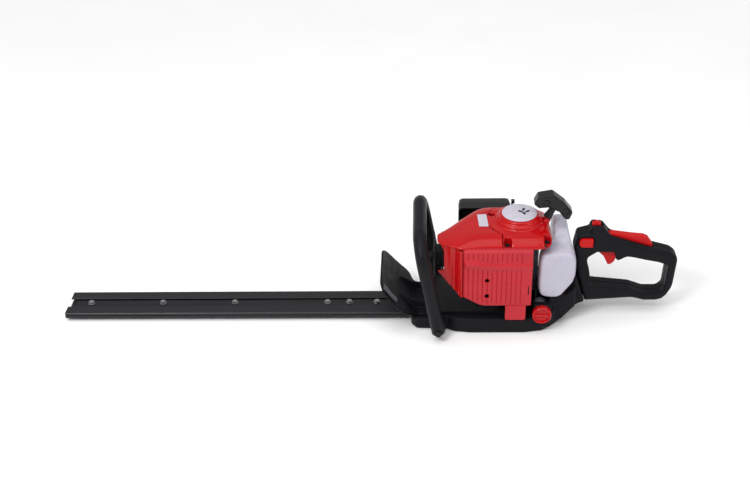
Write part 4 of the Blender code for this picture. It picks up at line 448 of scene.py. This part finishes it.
def make_tank():
    """The blow-moulded tank: a deep near body with a shoulder and a narrower part that runs back."""
    # each section: y, its size as a share of the box that follows, left, right, low, high
    sections = [(-0.0660, 0.84, 0.0340, 0.1012, 0.0672, 0.1640),
                (-0.0648, 0.92, 0.0340, 0.1012, 0.0672, 0.1640),
                (-0.0600, 0.98, 0.0340, 0.1012, 0.0672, 0.1640),
                (-0.0520, 1.0, 0.0340, 0.1014, 0.0672, 0.1645),
                (-0.0380, 1.0, 0.0350, 0.1014, 0.0672, 0.1650),
                (-0.0300, 1.0, 0.0380, 0.1010, 0.0672, 0.1655),
                (-0.0240, 1.0, 0.0480, 0.0980, 0.0680, 0.1690),
                (-0.0170, 1.0, 0.0590, 0.0945, 0.0690, 0.1790),
                (-0.0080, 1.0, 0.0612, 0.0930, 0.0695, 0.1845),
                (0.0080, 1.0, 0.0612, 0.0925, 0.0700, 0.1875),
                (0.0220, 1.0, 0.0612, 0.0925, 0.0710, 0.1890),
                (0.0340, 1.0, 0.0612, 0.0915, 0.0730, 0.1890),
                (0.0430, 0.95, 0.0615, 0.0905, 0.0760, 0.1870),
                (0.0480, 0.84, 0.0620, 0.0890, 0.0780, 0.1850),
                (0.0500, 0.66, 0.0620, 0.0890, 0.0780, 0.1850)]
    steps = 56
    squareness = 0.42
    cut_start, cut_in, cut_up = 1.18, 0.52, 0.48
    points = []
    for y, share, left, right, low, high in sections:
        half_x = (right - left) / 2.0
        half_z = (high - low) / 2.0
        for step in range(steps):
            angle = 2.0 * math.pi * step / steps
            c, s = math.cos(angle), math.sin(angle)
            x = math.copysign(abs(c) ** squareness, c)
            z = math.copysign(abs(s) ** squareness, s)
            # the lower right corner is cut back
            if x > 0.0 and z < 0.0:
                over = (x - z) - cut_start
                if over > 0.0:
                    x -= over * cut_in
                    z += over * cut_up
            points.append(((left + right) / 2.0 + half_x * x * share, y,
                           (low + high) / 2.0 + half_z * z * share))
    faces = [tuple(range(steps)), tuple(reversed(range(len(points) - steps, len(points))))]
    faces += tube_faces(steps, len(sections) - 1)
    made = add_mesh("fuel_tank_moulded", points, faces, TANK)
    remesh = made.modifiers.new("remesh", "REMESH")
    remesh.mode = "VOXEL"
    remesh.voxel_size = 0.0013
    relax = made.modifiers.new("relax", "SMOOTH")
    relax.iterations = 14
    apply_all(made)
    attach(made, "chassis")
    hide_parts("fuel_tank")
    neck = [(0.0108, -0.0075), (0.0128, -0.0075), (0.0128, -0.0030), (0.0136, -0.0022),
            (0.0128, -0.0014), (0.0128, 0.0010), (0.0136, 0.0018), (0.0128, 0.0026),
            (0.0128, 0.0260), (0.0108, 0.0260)]
    sideways = Matrix.Rotation(math.radians(-90.0), 4, "X")
    spout = lathe("tank_neck", neck, (0.0412, -0.0690, 0.0434), sideways, TANK)
    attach(spout, "chassis")


def make_badge():
    """A plain satin badge with a rim and a leaf sprig."""
    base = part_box("starter_badge")[0][2]
    top = base + 0.0017
    profile = [(0.0, base), (0.0314, base), (0.0319, base + 0.0005), (0.0316, base + 0.0012),
               (0.0308, top - 0.0003), (0.0300, top), (0.0, top)]
    badge = lathe("badge_disc", profile, (0.0, 0.0, 0.0), Matrix.Identity(4), SILVER, 96)
    badge.data.set_sharp_from_angle(angle=math.radians(30.0))
    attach(badge, "chassis")
    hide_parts("starter_badge")
    leaf_length, leaf_half_width = 0.0120, 0.0028
    outline = []
    for step in range(24):
        share = step / 24.0 * 2.0
        side = 1.0 if share <= 1.0 else -1.0
        t = share if share <= 1.0 else 2.0 - share
        point = (leaf_length * (t - 0.5), side * leaf_half_width * math.sin(math.pi * t) ** 0.8)
        if not outline or (Vector(point) - Vector(outline[-1])).length > 0.0002:
            outline.append(point)
    leaves = ((0.008, 0.010, 70.0), (0.008, -0.004, 110.0), (0.0145, 0.003, 40.0),
              (0.002, 0.003, 140.0))
    for index, (x, y, angle) in enumerate(leaves):
        turn = Matrix.Translation((x, y, 0.0)) @ Matrix.Rotation(math.radians(angle), 4, "Z")
        mark = prism(f"badge_leaf_{index + 1}", outline, top - 0.0001, top + 0.00025, turn, PRINT)
        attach(mark, "chassis")


def make_labels():
    """Two blank labels: a grey strip on the hand guard's inner face, a silver plate on the top cover."""
    line = [(-0.2250, 0.0600), (-0.2287, 0.0638), (-0.2342, 0.0706), (-0.2392, 0.0777),
            (-0.2438, 0.0840), (-0.2474, 0.0900), (-0.2499, 0.0925)]
    lift_x, lift_z = 0.0006, 0.0004
    points = [(x + lift_x, y, z + lift_z) for x, z in line for y in (-0.0680, -0.0520)]
    faces = [(2 * i, 2 * i + 1, 2 * i + 3, 2 * i + 2) for i in range(len(line) - 1)]
    strip = add_mesh("guard_label", points, faces, LABEL)
    curve = strip.modifiers.new("curve", "SUBSURF")
    curve.levels = 2
    sheet = strip.modifiers.new("sheet", "SOLIDIFY")
    sheet.thickness = 0.0012
    apply_all(strip)
    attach(strip, "chassis")
    half_x, half_y = 0.0085, 0.0215
    outline = [(-half_x, -half_y), (half_x, -half_y), (half_x, half_y), (-half_x, half_y)]
    cover_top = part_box("top_cover")[1][2]
    turn = Matrix.Translation((-0.0665, -0.0030, cover_top))
    turn = turn @ Matrix.Rotation(math.radians(3.0), 4, "Z")
    plate = prism("cover_label", outline, -0.0003, 0.0004, turn, SILVER, 0.0002)
    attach(plate, "chassis")


def make_rope():
    """The starter rope between the housing and the grip."""
    tilt = math.radians(27.0)
    axis = Vector((math.sin(tilt), 0.0, math.cos(tilt)))
    base = Vector((0.0510, 0.0, 0.2035))
    first = base - axis * 0.0210
    last = base + axis * 0.0060
    rings = 40
    sides = 12
    radius, lay_depth, lay_turn = 0.00145, 0.00018, 1.1
    side = Vector((0.0, 1.0, 0.0))
    up = axis.cross(side)
    points = []
    for ring in range(rings + 1):
        centre = first.lerp(last, ring / rings)
        for step in range(sides):
            angle = 2.0 * math.pi * step / sides
            swell = radius + lay_depth * math.cos(3.0 * angle + ring * lay_turn)
            points.append(centre + side * swell * math.cos(angle) + up * swell * math.sin(angle))
    faces = [tuple(range(sides)), tuple(reversed(range(rings * sides, (rings + 1) * sides)))]
    faces += tube_faces(sides, rings)
    rope = add_mesh("starter_rope", points, faces, ROPE)
    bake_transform(rope)


def droop(point):
    """The top cover falls away and narrows a little from the starter towards its nose."""
    rim, spine = 0.1805, -0.0520
    nose = smoothstep((-0.046 - point.x) / 0.104)
    if point.z > rim:
        point.z = rim + (point.z - rim) * (1.0 - 0.82 * nose ** 1.6)
    if point.y > spine:
        point.y = spine + (point.y - spine) * (1.0 - 0.10 * nose ** 3)
    return point


def draw_in(point):
    """The lock button is a little smaller than its well in the handle, so it can slide."""
    centre_x, centre_z, share = 0.1222, 0.1585, 0.94
    point.x = centre_x + (point.x - centre_x) * share
    point.z = centre_z + (point.z - centre_z) * share
    return point


dress()
SCREW_ROOMS = (((-0.0314, -0.10, 0.1822), (-0.0178, -0.0648, 0.21)),
               ((0.0403, -0.10, 0.1822), (0.0527, -0.0550, 0.21)))
soften("recoil_housing", 0.0011, 11, RED, rooms=SCREW_ROOMS)
soften("top_cover", 0.0012, 34, RED, warp=droop)
soften("front_deflector", 0.0009, 4, RED)
soften("base_frame", 0.0015, 18, BLACK)
soften("rear_handle_near", 0.0012, 9, BLACK)
soften("rear_handle_far", 0.0012, 9, BLACK)
soften("hand_guard", 0.0011, 6, BLACK)
soften("front_handle", 0.0016, 8, HANDLE)
soften("starter_grip", 0.0008, 4, BLACK_GLOSS)
soften("air_filter_cover", 0.0010, 5, BLACK_GLOSS)
soften("throttle_trigger", 0.0007, 4, RED_TRIM)
soften("lockout_lever", 0.0007, 4, RED_TRIM)
soften("throttle_lock", 0.0006, 4, RED_TRIM, warp=draw_in)
make_side_cover()
make_tank()
make_badge()
make_labels()
make_rope()


# ---------------------------------------------------------------- studio
def make_floor():
    """A wide sheet of white paper under everything."""
    bpy.ops.mesh.primitive_plane_add(size=14.0)
    floor = bpy.context.object
    floor.name = "floor"
    paper = surface("floor_paper", (0.93, 0.93, 0.93), 0.75, vary=0.01, patch=3.0, grain=120.0,
                    bump=0.02)
    floor.data.materials.append(paper)


def make_light(name, place, target, size, power):
    """A rectangular lamp that faces its target."""
    data = bpy.data.lights.new(name, "AREA")
    data.shape = "RECTANGLE"
    data.size = size[0]
    data.size_y = size[1]
    data.energy = power
    lamp = bpy.data.objects.new(name, data)
    SCENE.collection.objects.link(lamp)
    lamp.location = place
    lamp.rotation_euler = (Vector(target) - Vector(place)).to_track_quat("-Z", "Y").to_euler()


def make_sun():
    """A very soft light from above that keeps the floor evenly pale."""
    data = bpy.data.lights.new("sky", "SUN")
    data.angle = math.radians(70.0)
    data.energy = 1.45
    lamp = bpy.data.objects.new("sky", data)
    SCENE.collection.objects.link(lamp)
    lamp.rotation_euler = (math.radians(12.0), math.radians(-8.0), 0.0)


def make_camera():
    """The view from in front and above, turned a little to the left and rolled a little."""
    pitch = math.radians(32.0)
    yaw = math.radians(2.9)
    roll = math.radians(1.9)
    flat = math.cos(pitch)
    look = Vector((-math.sin(yaw) * flat, math.cos(yaw) * flat, -math.sin(pitch)))
    right = look.cross(Vector((0.0, 0.0, 1.0))).normalized()
    above = right.cross(look)
    level = math.cos(roll) * right - math.sin(roll) * above
    upper = math.sin(roll) * right + math.cos(roll) * above
    data = bpy.data.cameras.new("camera")
    data.sensor_width = 36.0
    data.lens = 55.2
    data.clip_end = 50.0
    camera = bpy.data.objects.new("camera", data)
    SCENE.collection.objects.link(camera)
    turn = Matrix((level, upper, -look)).transposed().to_4x4()
    camera.matrix_world = Matrix.Translation((-0.17337, -1.81769, 1.27151)) @ turn
    SCENE.camera = camera


def make_world():
    """An even white surround."""
    world = bpy.data.worlds.new("studio")
    world.use_nodes = True
    background = world.node_tree.nodes["Background"]
    background.inputs["Color"].default_value = (1.0, 1.0, 1.0, 1.0)
    background.inputs["Strength"].default_value = 0.50
    SCENE.world = world
    SCENE.view_settings.view_transform = "Standard"


make_floor()
make_camera()
make_world()
make_sun()
AIM = (0.0, 0.0, 0.1)
make_light("key", (-1.2, -1.5, 1.9), AIM, (0.7, 0.35), 25.0)
make_light("fill", (1.6, -1.2, 1.4), AIM, (0.9, 1.0), 7.0)
